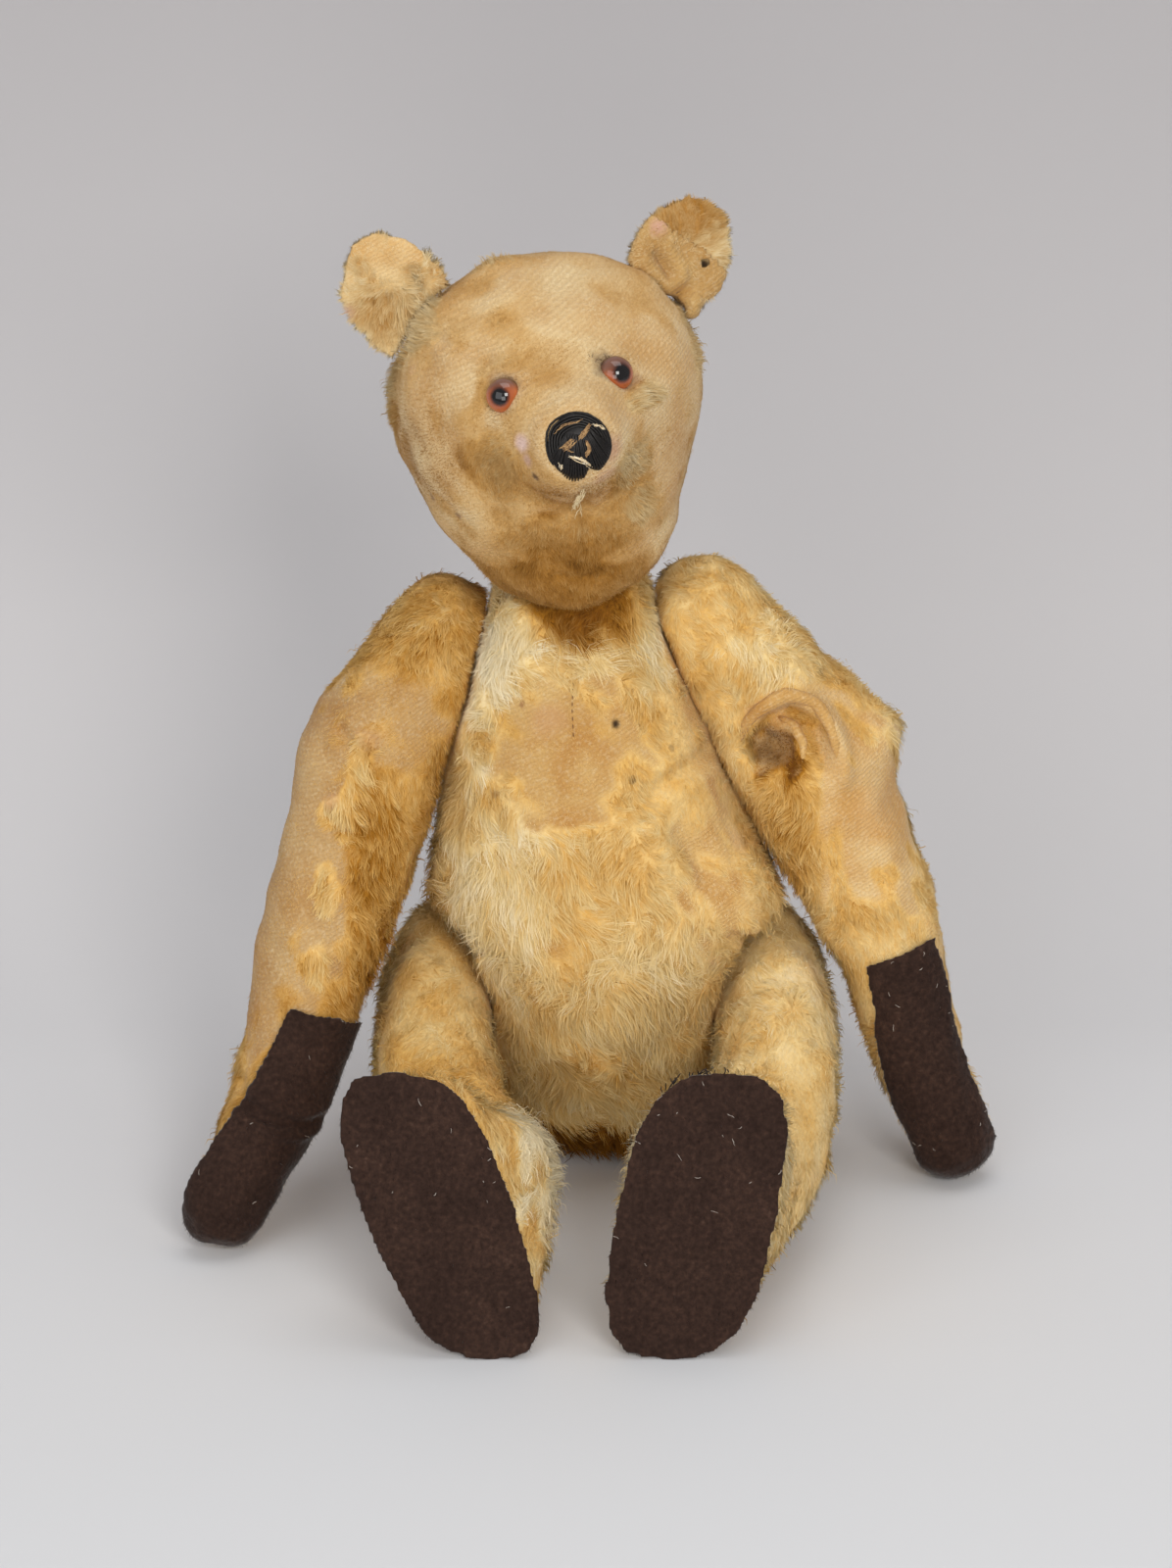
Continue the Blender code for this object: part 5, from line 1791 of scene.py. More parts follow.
@dataclass
class TornFront:
    """The worn front layer of the left ear, frayed along its top edge, with a moth hole."""

    edge: Line = ((0.0150, 0, 0.3790), (0.0231, 0, 0.3743), (0.0310, 0, 0.3672),
                  (0.0404, 0, 0.3610), (0.0500, 0, 0.3510))
    hole: Triple = (0.0400, 0.0, 0.3569)
    hole_reach: float = 1.5 * MM
    squash: float = 0.8
    frays: tuple[Triple, ...] = ((0.5 * MM, 2900, 0), (0.4 * MM, 1300, 1))
    rearmost: float = -0.12
    stand: float = 1.1 * MM
    thick: float = 0.6 * MM
    bare: float = 0.85
    tone: float = 0.62

    def build(self, ear: Object) -> Object:
        """Lift the front of the ear's own skin into a second layer, cut at its edge and hole.

        Args:
            ear: The left ear's skin.

        Returns:
            The front layer.
        """
        bm = bmesh.new()
        bm.from_mesh(ear.data)
        xs, zs = [p[0] for p in self.edge], [p[2] for p in self.edge]
        lost = []
        for face in bm.faces:
            at = face.calc_center_median()
            fray = sum(deep * math.sin(at.x * often + late) for deep, often, late in self.frays)
            high = at.z > np.interp(at.x, xs, zs) + fray
            off = math.hypot(at.x - self.hole[0], (at.z - self.hole[2]) * self.squash)
            if high or off < self.hole_reach or face.normal.y > self.rearmost:
                lost.append(face)
        bmesh.ops.delete(bm, geom=lost, context="FACES")
        for vert in bm.verts:
            vert.co += vert.normal * self.stand
        bmesh.ops.solidify(bm, geom=list(bm.faces), thickness=self.thick)
        bmesh.ops.recalc_face_normals(bm, faces=bm.faces)
        mesh = bpy.data.meshes.new("left_ear_front_cloth")
        bm.to_mesh(mesh)
        bm.free()
        front = object_from(mesh.name, mesh)
        painted(mesh, "bare", np.full(len(mesh.vertices), self.bare))
        painted(mesh, "tone", np.full(len(mesh.vertices), self.tone))
        spots = (Spot((0.0231, 0.006, 0.3725), 5 * MM, "#D8A8A4", 0.5),
                 Spot((0.0300, 0.004, 0.3470), 6 * MM, "#A87838", 0.6))
        cloth = MohairCloth("mohair_cloth_ear_front", spots, "#A67E48", "#BE9A60", tones=DUSTY)
        return dressed(front, cloth.make(), "head")


HEAD_TURN = (Matrix.Rotation(math.radians(-8), 3, "Y") @ Matrix.Rotation(math.radians(9), 3, "Z")
             @ Matrix.Rotation(math.radians(-12), 3, "X"))
"""How the head sits on the neck: it leans to its right, turns to its left and looks down."""


@dataclass
class GlassEye:
    """A blown glass eye on a shank, 12 mm across, sunk in its socket."""

    side: Side
    turn: float = math.radians(20)
    rise: float = math.radians(6)
    swell: float = 1.12
    forward: float = 0.8 * MM
    inward: float = 0.0
    # How far down the ball the painted shade under the lid reaches, and how soft its edge is.
    cloud: float = 0.12
    cloud_edge: float = 0.6
    segments: int = 40

    def build(self) -> Object:
        """Make the ball round its own line of sight, and paint how far each point is off it.

        Returns:
            The eye.
        """
        low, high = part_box(f"{self.side.word}_eye")
        radius = (high.x - low.x) / 2 * self.swell
        sight = (HEAD_TURN @ Matrix.Rotation(self.side.value * self.turn, 3, "Z")
                 @ Matrix.Rotation(-self.rise, 3, "X"))
        axis, top = sight @ Vector((0, -1, 0)), sight @ Vector((0, 0, 1))
        middle = (low + high) / 2 + axis * self.forward
        middle.x -= self.side.value * self.inward
        bm = bmesh.new()
        bmesh.ops.create_uvsphere(bm, u_segments=self.segments, v_segments=self.segments,
                                  radius=radius)
        turn = Vector((0, 0, 1)).rotation_difference(axis).to_matrix().to_4x4()
        bmesh.ops.transform(bm, matrix=Matrix.Translation(middle) @ turn, verts=bm.verts)
        mesh = bpy.data.meshes.new(f"{self.side.word}_glass_eye")
        bm.to_mesh(mesh)
        bm.free()
        eye = object_from(mesh.name, mesh)
        ways = units(places_of(mesh) - np.array(middle))
        off = np.arccos(np.clip(ways @ np.array(axis), -1, 1))
        painted(mesh, "off_axis", off / math.pi)
        # dusk is the painted shade under the lid: 1 at the top of the ball, 0 below it.
        painted(mesh, "dusk", smoothstep((ways @ np.array(top) + self.cloud) / self.cloud_edge))
        dressed(eye, EyeGlass().make(), "head")
        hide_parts(f"{self.side.word}_eye")
        return eye


@dataclass
class Shield:
    """The nose's uneven rim, and the surface that its threads lie on."""

    bulges: tuple[Triple, ...]
    middle: Vector
    wide: float
    tall: float
    ground: BVHTree | None = None

    FRONT: ClassVar[Vector] = HEAD_TURN @ Vector((0, -1, 0))
    SIDE: ClassVar[Vector] = HEAD_TURN @ Vector((1, 0, 0))
    RISE: ClassVar[Vector] = HEAD_TURN @ Vector((0, 0, 1))
    AHEAD: ClassVar[float] = 30
    """How far in front of the nose its surface is looked for, in millimetres."""

    def edge(self, turn: float) -> float:
        """How far the nose's rim is out at a turn in degrees, where 1 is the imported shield's.

        Args:
            turn: The turn round the nose's middle, in degrees.

        Returns:
            The rim's distance.
        """
        rim = 1.0
        for at, wide, rise in self.bulges:
            off = (turn - at + 180) % 360 - 180
            rim += rise * math.exp(-((off / wide) ** 2))
        return rim

    def fit(self, base: Object, skin: Object) -> None:
        """Draw the shield in to the rim where that is inside it, and take it as the ground.

        Args:
            base: The shield.
            skin: The head's skin, which is the ground beyond the shield.
        """
        places, front = places_of(base.data), np.array(self.FRONT)
        off = places - np.array(self.middle)
        turns = np.degrees(np.arctan2(off @ np.array(self.RISE), off @ np.array(self.SIDE)))
        rims = np.array([min(self.edge(turn), 1.0) for turn in turns])[:, None]
        along = (off @ front)[:, None] * front
        put_places(base.data, np.array(self.middle) + along + (off - along) * rims)
        self.ground = tree_of(base, skin)

    def laid(self, turn: float, reach: float, lift: float) -> Vector:
        """A point on the nose at a turn and a share of the rim, lifted off it.

        Args:
            turn: The turn round the nose's middle, in degrees.
            reach: The share of the rim's distance.
            lift: How far off the surface, in metres.

        Returns:
            The point.
        """
        reach = reach * self.edge(turn)
        flat = (self.middle + self.SIDE * (math.cos(math.radians(turn)) * reach * self.wide)
                + self.RISE * (math.sin(math.radians(turn)) * reach * self.tall))
        hit = self.ground.ray_cast(flat + self.FRONT * self.AHEAD * MM, -self.FRONT)
        return (hit[0] or flat) + self.FRONT * lift

    def drawn(self, u: float, v: float, lift: float) -> Vector:
        """A point across and up the nose in half-sizes, lifted off it.

        Args:
            u: How far across, in half the nose's width.
            v: How far up, in half its height.
            lift: How far off the surface, in metres.

        Returns:
            The point.
        """
        turn = math.degrees(math.atan2(v, u))
        return self.laid(turn, math.hypot(u, v) / self.edge(turn), lift)


@dataclass(frozen=True)
class Strokes:
    """Some uneven threads beside each of a few broken lines across the nose.

    A row is a broken line's corners in half-sizes, and how many threads follow it.
    """

    name: str
    finish: Thread
    rows: tuple[tuple[tuple[tuple[float, float], ...], int], ...]
    spread: float
    radius: float
    cut: float = 0.25
    shake: float = 0.012
    bits: int = 8

    def build(self, shield: Shield, lift: float, chance: np.random.Generator) -> None:
        """Lay the threads.

        Args:
            shield: The nose's shield.
            lift: How far off the surface they lie, in metres.
            chance: The random numbers.
        """
        lines = []
        for corners, count in self.rows:
            for _ in range(count):
                du, dv = chance.normal(0, self.spread, 2)
                cut = chance.uniform(0, self.cut, 2)
                line = []
                for k in range(self.bits + 1):
                    t = (cut[0] + (1 - cut.sum()) * k / self.bits) * (len(corners) - 1)
                    j = min(int(t), len(corners) - 2)
                    u, v = (corners[j][i] + (corners[j + 1][i] - corners[j][i]) * (t - j)
                            for i in (0, 1))
                    line.append(shield.drawn(u + du + chance.normal(0, self.shake),
                                             v + dv + chance.normal(0, self.shake), lift))
                lines.append(line)
        thing = object_from(self.name, tube_mesh(lines, self.radius, 1))
        dressed(thing, self.finish.make(), "head")


@dataclass
class Nose:
    """A nose of black silk laid in rings over a shield, its middle rubbed to the tan core.

    A turn is in degrees from the bear's left, and a bulge is a turn, a width and a rise. The
    lifts are how far off the shield the rings, the fan and the worn threads lie, in threads.
    """

    thread: float = 0.46 * MM
    seed: int = 5
    bulges: tuple[Triple, ...] = ((137, 25, 0.10), (90, 30, 0.05), (-108, 20, 0.15),
                                  (-76, 13, -0.24), (-50, 22, 0.03))
    rings: int = 6
    outermost: float = 0.97
    step: float = 0.072
    first: tuple[int, int] = (206, -7)
    last: tuple[int, int] = (-34, 13)
    ring_bits: int = 20
    fan: tuple[int, int, int] = (190, 352, 5)
    fan_rim: float = 0.94
    fan_top: float = 0.42
    fan_bits: int = 10
    fan_spread: tuple[float, float] = (0.02, 0.05)
    lifts: Triple = (0.55, 0.6, 1.3)
    worn: Strokes = Strokes(
        "nose_worn_threads", Thread("worn_thread_core", "#6E5034", "#C09A68", 0.7),
        ((((-0.60, 0.02), (-0.38, 0.12), (-0.15, 0.28)), 8),
         (((-0.02, 0.26), (0.20, 0.42), (0.42, 0.62)), 7),
         (((0.20, 0.20), (0.28, -0.12), (0.08, -0.32)), 8),
         (((-0.68, 0.52), (-0.40, 0.72), (0.25, 0.74)), 2),
         (((-0.52, -0.02), (-0.30, -0.10)), 3)), 0.050, 0.24 * MM)
    loose: Strokes = Strokes(
        "nose_loose_threads", Thread("pale_linen_thread", "#C8AE84", "#F4E8CC", 0.6),
        ((((0.42, 0.64), (0.70, 0.50), (0.92, 0.30)), 3),
         (((-0.45, -0.16), (-0.05, -0.34), (0.30, -0.70)), 6),
         (((-0.66, -0.38), (-0.68, -0.60)), 3)), 0.030, 0.22 * MM)

    def laid_rings(self, shield: Shield) -> list[list[Vector]]:
        """The rings of thread, from the rim inwards.

        Args:
            shield: The nose's shield.

        Returns:
            One line of points for each ring.
        """
        lines = []
        for ring in range(self.rings):
            reach = self.outermost - self.step * ring
            first, last = (turn + more * ring for turn, more in (self.first, self.last))
            lines.append([shield.laid(first + (last - first) * k / self.ring_bits, reach,
                                      self.thread * self.lifts[0]) for k in range(self.ring_bits + 1)])
        return lines

    def fanned(self, shield: Shield, chance: np.random.Generator) -> list[list[Vector]]:
        """The threads that fan out from above the nose's middle to its lower rim.

        Args:
            shield: The nose's shield.
            chance: The random numbers.

        Returns:
            One line of points for each thread.
        """
        lines = []
        for end in range(*self.fan):
            out = math.cos(math.radians(end)), math.sin(math.radians(end))
            rim = shield.edge(end) * self.fan_rim
            top = (out[0] * self.fan_top + chance.normal(0, self.fan_spread[0]),
                   self.fan_top + chance.normal(0, self.fan_spread[1]))
            lines.append([shield.drawn(top[0] + (out[0] * rim - top[0]) * k / self.fan_bits,
                                       top[1] + (out[1] * rim - top[1]) * k / self.fan_bits,
                                       self.thread * self.lifts[1]) for k in range(self.fan_bits + 1)])
        return lines

    def build(self, nodes: dict[str, Object], skin: Object) -> None:
        """Lay the threads on the shield and the muzzle's skin.

        Args:
            nodes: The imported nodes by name.
            skin: The head's skin.
        """
        low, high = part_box("nose_stitching")
        base = finer(copied("nose_shield", nodes["nose_stitching"]))
        shield = Shield(self.bulges, (low + high) / 2, (high.x - low.x) / 2, (high.z - low.z) / 2)
        shield.fit(base, skin)
        chance = np.random.default_rng(self.seed)
        black = self.laid_rings(shield) + self.fanned(shield, chance)
        dark = Thread("black_silk_thread", "#0B0908", "#1E1916", 0.42).make()
        dressed(object_from("nose_threads", tube_mesh(black, self.thread)), dark, "head")
        dressed(base, dark, "head")
        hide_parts("nose_stitching")
        for strokes in (self.worn, self.loose):
            strokes.build(shield, self.thread * self.lifts[2], chance)


# ---------------------------------------------------------------- pads and threads


@dataclass
class Strays:
    """Loose hairs and thread ends lying on a piece: lint, frayed stitches and tufts."""

    name: str
    body: str
    finish: Thread
    middle: Triple
    reach: Triple
    count: int
    length: float
    run: Triple = (0.0, 0.0, 0.0)
    radius: float = 0.13 * MM
    rise: float = 0.3 * MM
    seed: int = 3
    wander: float = 0.28
    record_slot: str = "worn_mohair"

    BITS: ClassVar[int] = 5
    """How many straight bits a thread is bent from."""
    SIZES: ClassVar[tuple[float, float]] = (0.5, 1.3)
    """The shortest and the longest thread, as shares of the length."""
    SPREAD: ClassVar[float] = 0.5
    """How much the threads' runs differ."""

    def build(self, piece: Object) -> Object:
        """Lay each thread along the piece from a chosen place, its end a little raised.

        Args:
            piece: The piece that the threads lie on.

        Returns:
            The threads.
        """
        ground, chance = tree_of(piece), np.random.default_rng(self.seed)
        lines = []
        for _ in range(self.count):
            at = Vector(np.array(self.middle) + np.array(self.reach) * chance.uniform(-1, 1, 3))
            way = Vector(np.array(self.run) + chance.normal(0, self.SPREAD, 3)).normalized()
            size = self.length * chance.uniform(*self.SIZES)
            line = []
            for k in range(self.BITS):
                hit, normal = ground.find_nearest(at)[:2]
                line.append(hit + normal * (self.radius + self.rise * (0.4 + 0.6 * k / self.BITS)))
                way = (way + Vector(chance.normal(0, self.wander, 3))).normalized()
                at = hit + way * (size / self.BITS)
            lines.append(line)
        thing = object_from(self.name, tube_mesh(lines, self.radius, 1))
        return dressed(thing, self.finish.make(), self.body)


@dataclass
class Pad:
    """A velveteen pad sewn to a paw or a sole, its edge frayed and its pile creased."""

    node: str
    body: str
    seed: int
    faces: int = 10000
    folds: tuple[Lump | Crease, ...] = ()
    spread: float = 1.03
    voxel: float = 1.3 * MM
    smoothing: int = 8
    bump: float = 8 * MM
    bump_depth: float = 0.4 * MM
    nap: float = 1.5 * MM
    lint: int = 36
    lint_length: float = 3.2 * MM
    lint_radius: float = 0.11 * MM

    def build(self, nodes: dict[str, Object]) -> Object:
        """Make the pad, its short pile and the lint on it.

        Args:
            nodes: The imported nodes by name.

        Returns:
            The pad's cloth.
        """
        pad = remeshed(copied(f"{self.node}_velveteen", nodes[self.node]), self.voxel)
        smooth = pad.modifiers.new("smooth", "SMOOTH")
        smooth.iterations = self.smoothing
        baked(pad)
        places, normals = places_of(pad.data), normals_of(pad.data)
        heart = places.mean(axis=0)
        places = heart + (places - heart) * np.array([self.spread, 1.0, self.spread])
        for fold in self.folds:
            places = fold.press(places, normals)
        lump = Drift(self.bump, self.seed).at(places) * self.bump_depth
        places = places + normals * lump[:, None]
        places[:, 2] = np.maximum(places[:, 2], SKIN_CLEAR)
        put_places(pad.data, places)
        coat = Coat(f"{self.node}_nap", self.body, self.faces, self.nap, 0.0, 0.5,
                    Comb(lean=0.50, tousle=0.2), self.seed, width=0.26 * MM, clump=2.0 * MM,
                    gather=0.3)
        coat.grow(pad, Velveteen("brown_velveteen_nap", True).make(), "brown_velveteen")
        dressed(pad, Velveteen().make(), self.body)
        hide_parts(self.node)
        low, high = places.min(axis=0), places.max(axis=0)
        lint = Strays(f"{self.node}_lint", self.body, Thread("grey_lint", "#8C7F76", "#C9BFB4", 0.8),
                      tuple((low + high) / 2), tuple((high - low) / 2), self.lint,
                      self.lint_length, radius=self.lint_radius, seed=self.seed,
                      record_slot="brown_velveteen")
        lint.build(pad)
        return pad


@dataclass
class SeamStitches:
    """A row of small brown stitches down the chest, where the seam was closed by hand."""

    points: Line = ((-0.0086, -0.034, 0.207), (-0.0090, -0.038, 0.197),
                    (-0.0084, -0.041, 0.186))
    pitch: float = 2.7 * MM
    stitch: float = 1.5 * MM
    thread: float = 0.20 * MM
    arch: tuple[float, ...] = (0.5, 1.4, 1.4, 0.5)
    ahead: float = 30 * MM

    def build(self, skin: Object) -> None:
        """Lay each stitch along the seam.

        Args:
            skin: The torso's skin.
        """
        ground, lines = tree_of(skin), []
        corners = [Vector(p) for p in self.points]
        for a, b in zip(corners, corners[1:]):
            count = max(1, round((b - a).length / self.pitch))
            for k in range(count):
                at, line = a.lerp(b, k / count), []
                for j, rise in enumerate(self.arch):
                    off = (b - a).normalized() * (self.stitch * j / (len(self.arch) - 1))
                    hit = ground.ray_cast(at + off + Vector((0, -self.ahead, 0)),
                                          Vector((0, 1, 0)))[0]
                    if hit:
                        line.append(hit + Vector((0, -self.thread * rise, 0)))
                if len(line) > 2:
                    lines.append(line)
        stitches = object_from("chest_stitches", tube_mesh(lines, self.thread))
        dressed(stitches, Thread("brown_linen_thread", "#6A4A30", "#94704A", 0.7).make(), "torso")


@dataclass
class ClothRoll:
    """A pinched roll of slack cloth that stands up from a limb, bare along its top."""

    name: str
    points: Line
    radius: float
    bits: int = 6
    sink: float = 0.25
    rounding: int = 3
    ahead: float = 40 * MM
    ripple: float = 5 * MM
    ripple_depth: float = 0.35 * MM
    seed: int = 91
    bare: float = 0.9
    tone: float = 0.6

    def build(self, body: str, skin: Object) -> Object:
        """Sweep the roll along its points, half sunk in the skin.

        Args:
            body: The CAD body that it rides.
            skin: That body's skin.

        Returns:
            The roll.
        """
        ground, line = tree_of(skin), []
        corners = [Vector(p) for p in self.points]
        for a, b in zip(corners, corners[1:]):
            for k in range(self.bits):
                at = a.lerp(b, k / self.bits)
                hit = ground.ray_cast(at + Vector((0, -self.ahead, 0)), Vector((0, 1, 0)))[0]
                line.append((hit or at) + Vector((0, self.radius * self.sink, 0)))
        for _ in range(self.rounding):
            line = [line[0], *[(a + b * 2 + c) / 4 for a, b, c in zip(line, line[1:], line[2:])],
                    line[-1]]
        mesh = tube_mesh([line], self.radius, 4, True)
        roll = object_from(self.name, mesh)
        places = places_of(mesh)
        ripple = Drift(self.ripple, self.seed).at(places) * self.ripple_depth
        put_places(mesh, places + normals_of(mesh) * ripple[:, None])
        painted(mesh, "bare", np.full(len(places), self.bare))
        painted(mesh, "tone", np.full(len(places), self.tone))
        cloth = MohairCloth(f"{self.name}_weave", (), "#B27E3C", "#CCA264")
        return dressed(roll, cloth.make(), body)


# ---------------------------------------------------------------- the studio


@dataclass(frozen=True)
class Lamp:
    """A soft square lamp: its place and side in metres, its power in watts and its colour."""

    name: str
    at: Triple
    size: float
    watts: float
    colour: str

    def build(self, target: Triple) -> None:
        """Add the lamp, faced at a point.

        Args:
            target: The point.
        """
        light = bpy.data.lights.new(self.name, "AREA")
        light.size = self.size
        light.energy = self.watts
        light.color = linear(self.colour)[:3]
        holder = bpy.data.objects.new(self.name, light)
        holder.location = self.at
        away = Vector(target) - Vector(self.at)
        holder.rotation_euler = away.to_track_quat("-Z", "Y").to_euler()
        bpy.context.scene.collection.objects.link(holder)


@dataclass
class Studio:
    """A pale paper sweep, soft lamps and a camera a little above the bear."""

    target: Triple = (-0.0038, 0.0, 0.151)
    distance: float = 2.0
    elevation: float = 24.0
    lens: float = 119.7
    front: float = 0.75
    bend: float = 0.10
    curl: float = 0.40
    curl_steps: int = 16
    half_width: float = 3.0
    top: float = 3.0
    back: float = 4.0
    paper: Backdrop = field(default_factory=Backdrop)
    lamps: tuple[Lamp, ...] = (
        Lamp("key_lamp", (0.55, -1.9, 1.25), 0.7, 19.0, "#FFFCF8"),
        Lamp("fill_lamp", (-1.2, -1.8, 0.9), 1.6, 13.0, "#FAFCFF"),
        Lamp("low_lamp", (-0.1, -2.2, 0.35), 0.9, 9.0, "#FFFDFA"),
        Lamp("top_lamp", (0.2, 0.1, 2.1), 1.4, 13.0, "#FFFFFF"))
    air: str = "#F5F5F6"
    air_strength: float = 0.46
    seen: str = "#C9C9CB"
    sensor: float = 36.0

    def sweep(self) -> None:
        """Build the floor and the wall as one curved sheet, and a plain floor behind it."""
        bm = bmesh.new()
        profile = [(-self.front, 0.0), (self.bend, 0.0)]
        for k in range(1, self.curl_steps + 1):
            turn = k / self.curl_steps * math.pi / 2
            profile.append((self.bend + self.curl * math.sin(turn),
                            self.curl * (1 - math.cos(turn))))
        profile.append((self.bend + self.curl, self.top))
        behind = [(self.bend, -1 * MM), (self.back, -1 * MM)]
        edges = []
        for row in (profile, behind):
            spots = [bm.verts.new((-self.half_width, y, z)) for y, z in row]
            edges += [bm.edges.new(pair) for pair in zip(spots, spots[1:])]
        grown = bmesh.ops.extrude_edge_only(bm, edges=edges)
        moved = [v for v in grown["geom"] if isinstance(v, bmesh.types.BMVert)]
        bmesh.ops.translate(bm, verts=moved, vec=(self.half_width * 2, 0, 0))
        for face in bm.faces:
            face.normal_update()
        under = [face for face in bm.faces if face.normal.z - face.normal.y < 0]
        bmesh.ops.reverse_faces(bm, faces=under)
        mesh = bpy.data.meshes.new("paper_sweep")
        bm.to_mesh(mesh)
        bm.free()
        sheet = object_from("paper_sweep", mesh)
        mesh.materials.append(self.paper.make())

    def build(self) -> None:
        """Set the sweep, the lamps, the world and the camera."""
        self.sweep()
        for lamp in self.lamps:
            lamp.build(self.target)
        world = bpy.data.worlds.new("studio_air")
        world.use_nodes = True
        tree = world.node_tree
        air = add_node(tree, "Background", {"Color": linear(self.air), "Strength": self.air_strength})
        seen = add_node(tree, "Background", {"Color": linear(self.seen), "Strength": 1.0})
        ray = add_node(tree, "LightPath", out="Is Camera Ray")
        mixed = add_node(tree, "MixShader", {0: ray, 1: air, 2: seen})
        tree.links.new(mixed, tree.nodes["World Output"].inputs["Surface"])
        scene = bpy.context.scene
        scene.world = world
        camera = bpy.data.cameras.new("camera")
        camera.sensor_fit = "AUTO"
        camera.sensor_width = self.sensor
        camera.lens = self.lens
        holder = bpy.data.objects.new("camera", camera)
        lift = math.radians(self.elevation)
        away = Vector((0, -math.cos(lift), math.sin(lift))) * self.distance
        holder.location = Vector(self.target) + away
        holder.rotation_euler = (-away).to_track_quat("-Z", "Y").to_euler()
        scene.collection.objects.link(holder)
        scene.camera = holder
        scene.view_settings.view_transform = "Standard"


# ---------------------------------------------------------------- inside


@dataclass(frozen=True)
class Plate:
    """A hidden piece's plain finish: two colours, mottled, and dull or metallic."""

    name: str
    low: str
    high: str
    grain: float
    rough: float
    metal: float = 0.0
    stops: tuple[float, float] = (0.3, 0.7)

    def make(self) -> Material:
        """Build the node tree.

        Returns:
            The material.
        """
        material, tree, shader, places = begin(self.name, {
            "Roughness": self.rough, "Metallic": self.metal})
        mark = add_node(tree, "TexNoise", {"Vector": places, "Scale": self.grain, "Detail": 3.0})
        colour = add_node(tree, "ValToRGB", {"Fac": mark},
                          stops=tuple(zip(self.stops, (self.low, self.high))))
        tree.links.new(colour, shader.inputs["Base Color"])
        return material


BOARD = Plate("pressed_hardboard", "#5E3B22", "#7E5535", 900.0, 0.75)
STEEL_PLATE = Plate("dull_steel_plate", "#77726C", "#96918A", 1500.0, 0.45, 1.0)
STEEL_WIRE = Plate("dull_steel_wire", "#77726C", "#96918A", 1500.0, 0.45, 1.0)
INSIDE = {BOARD: ("_disc",), STEEL_PLATE: ("_washer",), STEEL_WIRE: ("_pin", "_shank")}
"""The hidden pieces' finishes, and the ends of the names of the pieces that have them."""


def finish_inside(nodes: dict[str, Object]) -> None:
    """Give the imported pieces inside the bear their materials.

    Args:
        nodes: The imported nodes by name.
    """
    for finish, ends in INSIDE.items():
        material = finish.make()
        for name, node in nodes.items():
            if name.endswith(ends):
                node.data.materials.clear()
                node.data.materials.append(material)


# ---------------------------------------------------------------- the whole


def right_ear() -> Ear:
    """The bear's right ear, cupped and bent, with a tuft of long hair down its middle.

    Returns:
        The ear, not yet built.
    """
    return Ear(Side.RIGHT, 67, (
        Patch((0, 0, 0), 3.5 * MM, bare=-0.6, long=3 * MM, tone=0.1,
              line=((-0.058, -0.002, 0.366), (-0.068, -0.002, 0.352), (-0.074, -0.002, 0.334))),
        Patch((-0.0786, -0.010, 0.3431), (0.010, 0.012, 0.009), bare=-0.3, long=0.5 * MM, tone=-0.20),
        Patch((-0.0757, -0.012, 0.3650), (0.016, 0.010, 0.011), bare=0.7, long=-1.5 * MM, tone=0.04),
    ), (
        Lump((-0.0790, -0.004, 0.3740), (0.1, 0.0, 1.0), (0.030, 0.030, 0.020), 4.5 * MM),
        Lump((-0.0740, -0.010, 0.3450), (0.25, 1.0, 0.0), (0.011, 0.014, 0.010), 4.5 * MM),
        Crease(((-0.0680, -0.010, 0.362), (-0.0659, -0.010, 0.3538), (-0.0680, -0.010, 0.345)),
               2.4 * MM, 2.6 * MM),
        Crease(((-0.0640, -0.010, 0.370), (-0.0572, -0.010, 0.3662), (-0.0600, -0.010, 0.352)),
               3.0 * MM, -1.6 * MM),
    ), (Spot((-0.0910, -0.004, 0.3430), 5 * MM, "#DCB4AC", 0.6),))


def left_ear() -> Ear:
    """The bear's left ear, with two creases and a bump, and a moth hole.

    Returns:
        The ear, not yet built.
    """
    return Ear(Side.LEFT, 71, (
        Patch((0.036, 0.006, 0.376), (0.016, 0.030, 0.012), bare=-0.2, tone=-0.22),
        Patch((0.030, 0.002, 0.350), (0.016, 0.010, 0.014), bare=0.4, long=-1.5 * MM, tone=0.0),
    ), (
        Crease(((0.0209, 0.004, 0.364), (0.0250, 0.003, 0.357), (0.0281, 0.002, 0.3514)),
               2.4 * MM, 2.4 * MM, 1.2 * MM),
        Crease(((0.0360, 0.004, 0.350), (0.0303, 0.003, 0.3467), (0.0300, 0.002, 0.338)),
               2.6 * MM, 3.0 * MM, 1.4 * MM),
        Lump((0.040, 0.002, 0.345), (0.2, -1.0, 0.0), 0.007, 1.8 * MM),
    # The near-black spot seen through the moth hole is painted shade.
    ), (Spot((0.0400, 0.009, 0.3569), 4.0 * MM, "#2A1C12"),), bare=0.15)


def face_strays(skin: Object) -> None:
    """Lay the pale hairs under the nose and the grimy ones beside the left eye.

    Args:
        skin: The head's skin.
    """
    Strays("chin_pale_hairs", "head", Thread("bleached_mohair", "#CDB688", "#EBDDB8", 0.6),
           (-0.0042, -0.080, 0.291), (0.0009, 0.004, 0.012), 34, 10 * MM, (0.05, 0.6, -7.0),
           0.13 * MM, 2.6 * MM, 5, 0.07).build(skin)
    Strays("eye_grime_hairs", "head", Thread("soiled_mohair", "#2E211C", "#5E4A3E", 0.7),
           (0.0025, -0.0550, 0.3420), (0.006, 0.002, 0.002), 12, 3 * MM, (-0.4, 0.0, 1.2),
           0.08 * MM, 1.6 * MM, 6).build(skin)


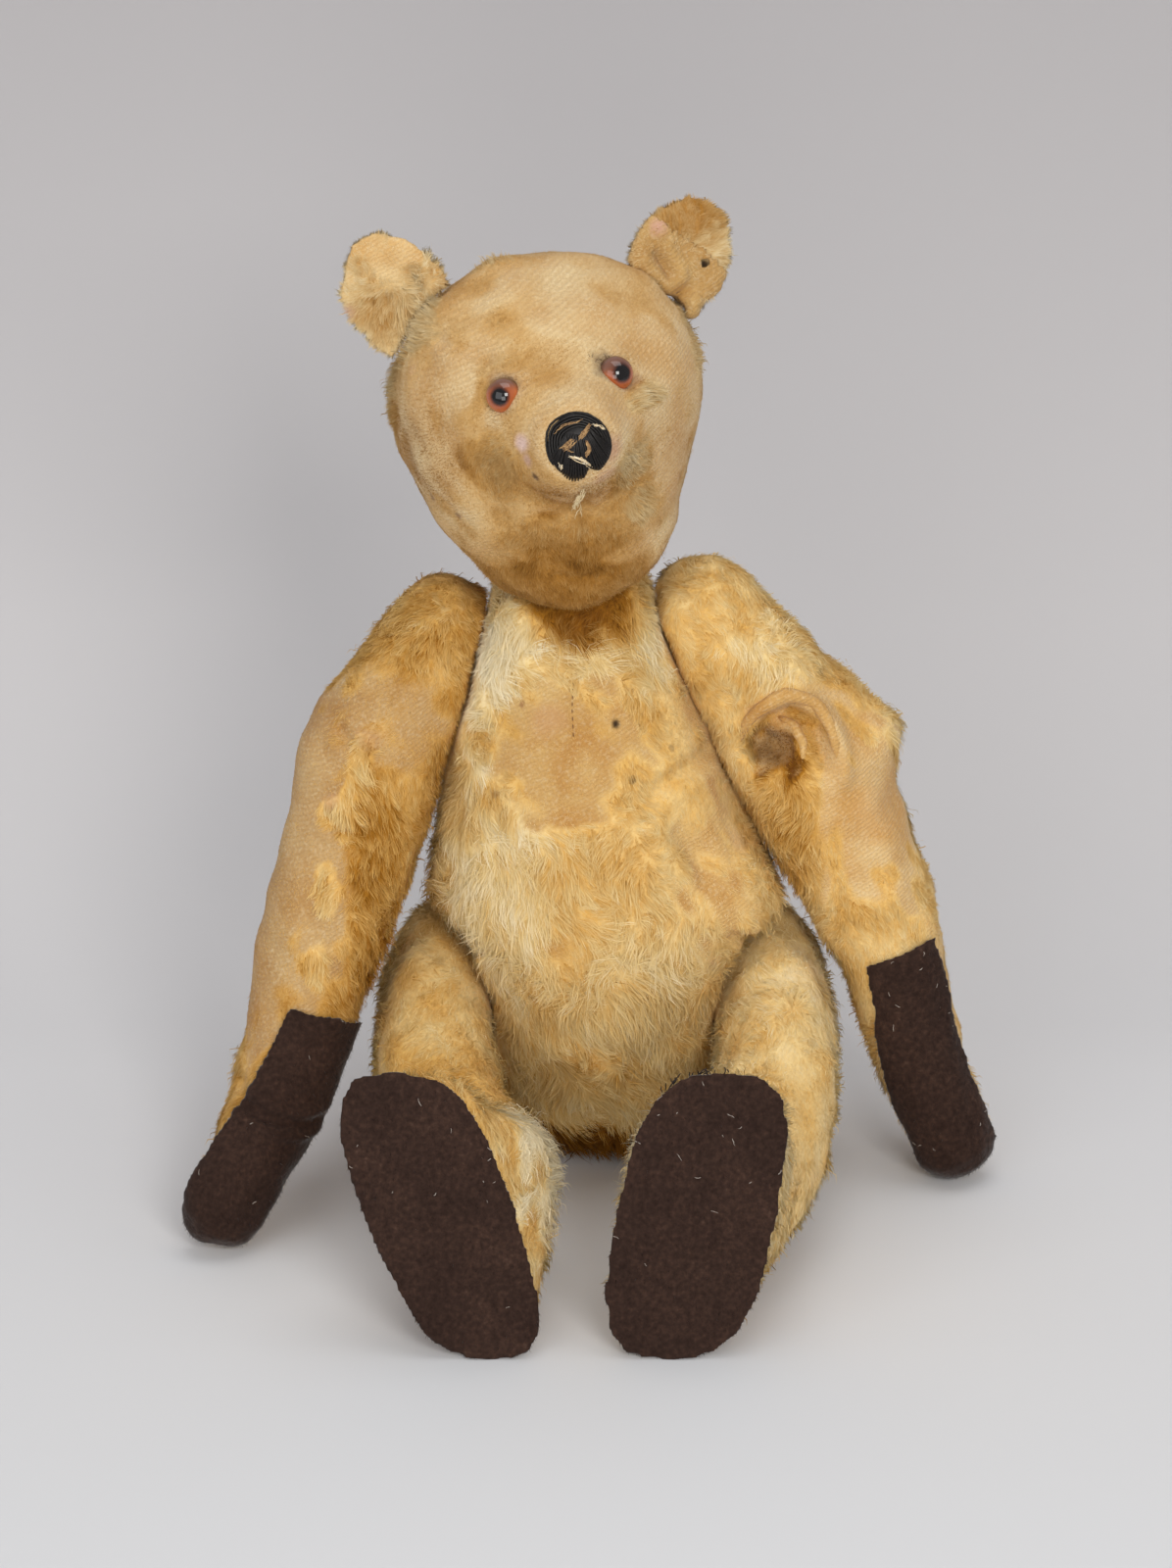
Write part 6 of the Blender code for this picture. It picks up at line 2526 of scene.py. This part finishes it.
def elbow_rolls(skin: Object) -> None:
    """Raise the two rolls of slack cloth round the left elbow's fold.

    Args:
        skin: The left arm's skin.
    """
    for roll in (
        ClothRoll("elbow_roll", ((0.0545, 0, 0.1760), (0.0570, 0, 0.1860), (0.0640, 0, 0.1940),
                                 (0.0733, 0, 0.1975), (0.0830, 0, 0.1935), (0.0895, 0, 0.1840),
                                 (0.0915, 0, 0.1700)), 3.0 * MM),
        ClothRoll("elbow_inner_roll", ((0.0690, 0, 0.1860), (0.0745, 0, 0.1850),
                                       (0.0785, 0, 0.1790), (0.0775, 0, 0.1690)), 1.7 * MM),
    ):
        roll.build("left_arm", skin)


def pads() -> tuple[Pad, ...]:
    """The four velveteen pads, two of which are folded as the limb under them is.

    Returns:
        The pads, not yet built.
    """
    return (
        Pad("left_paw_pad", "left_arm", 81),
        Pad("right_paw_pad", "right_arm", 83, folds=(
            Lump((-0.143, -0.060, 0.030), (-1.0, 0.25, 0.0), (0.020, 0.050, 0.022), 6.0 * MM),
            Crease(PAW_CREASE, 2.2 * MM, 1.6 * MM, 1.9 * MM))),
        Pad("left_foot_pad", "left_leg", 85, 13000),
        Pad("right_foot_pad", "right_leg", 87, 13000, folds=(
            Lump((-0.100, -0.165, 0.062), (-1.0, 0.0, 0.0), (0.026, 0.050, 0.050), 4.5 * MM),)))


def main() -> None:
    """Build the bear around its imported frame, then the studio."""
    logging.basicConfig(level=logging.INFO, format="%(message)s")
    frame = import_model()
    nodes = frame["nodes"]
    Studio().build()
    stain = Spot((0.058, -0.128, 0.098), 8 * MM, "#DDB0A8", 0.5)
    bodies = [torso(), head(), left_arm(), right_arm(), leg("left", (stain,), 53, 1.0 * MM, 0.63),
              leg("right", (), 59, 5.0 * MM, 0.50)]
    for body in bodies:
        body.make_skin(nodes)
    for body in bodies:
        body.dress(nodes)
    trunk, top, left, _, shin, _ = (body.skin for body in bodies)
    right_ear().build(nodes)
    TornFront().build(left_ear().build(nodes))
    GlassEye(Side.RIGHT, cloud=-0.15).build()
    GlassEye(Side.LEFT, inward=1.6 * MM, cloud=0.10).build()
    Nose().build(nodes, top)
    face_strays(top)
    SeamStitches().build(trunk)
    elbow_rolls(left)
    for pad in pads():
        pad.build(nodes)
    Strays("sole_frayed_threads", "left_leg", Thread("black_silk_ends", "#14100F", "#3A322E", 0.5),
           (0.0310, -0.156, 0.1060), (0.018, 0.003, 0.002), 20, 5 * MM, (0.4, 0.2, 0.8), 0.24 * MM,
           4.0 * MM, 7, record_slot="black_silk_thread").build(shin)
    finish_inside(nodes)


if __name__ == "__main__":
    main()
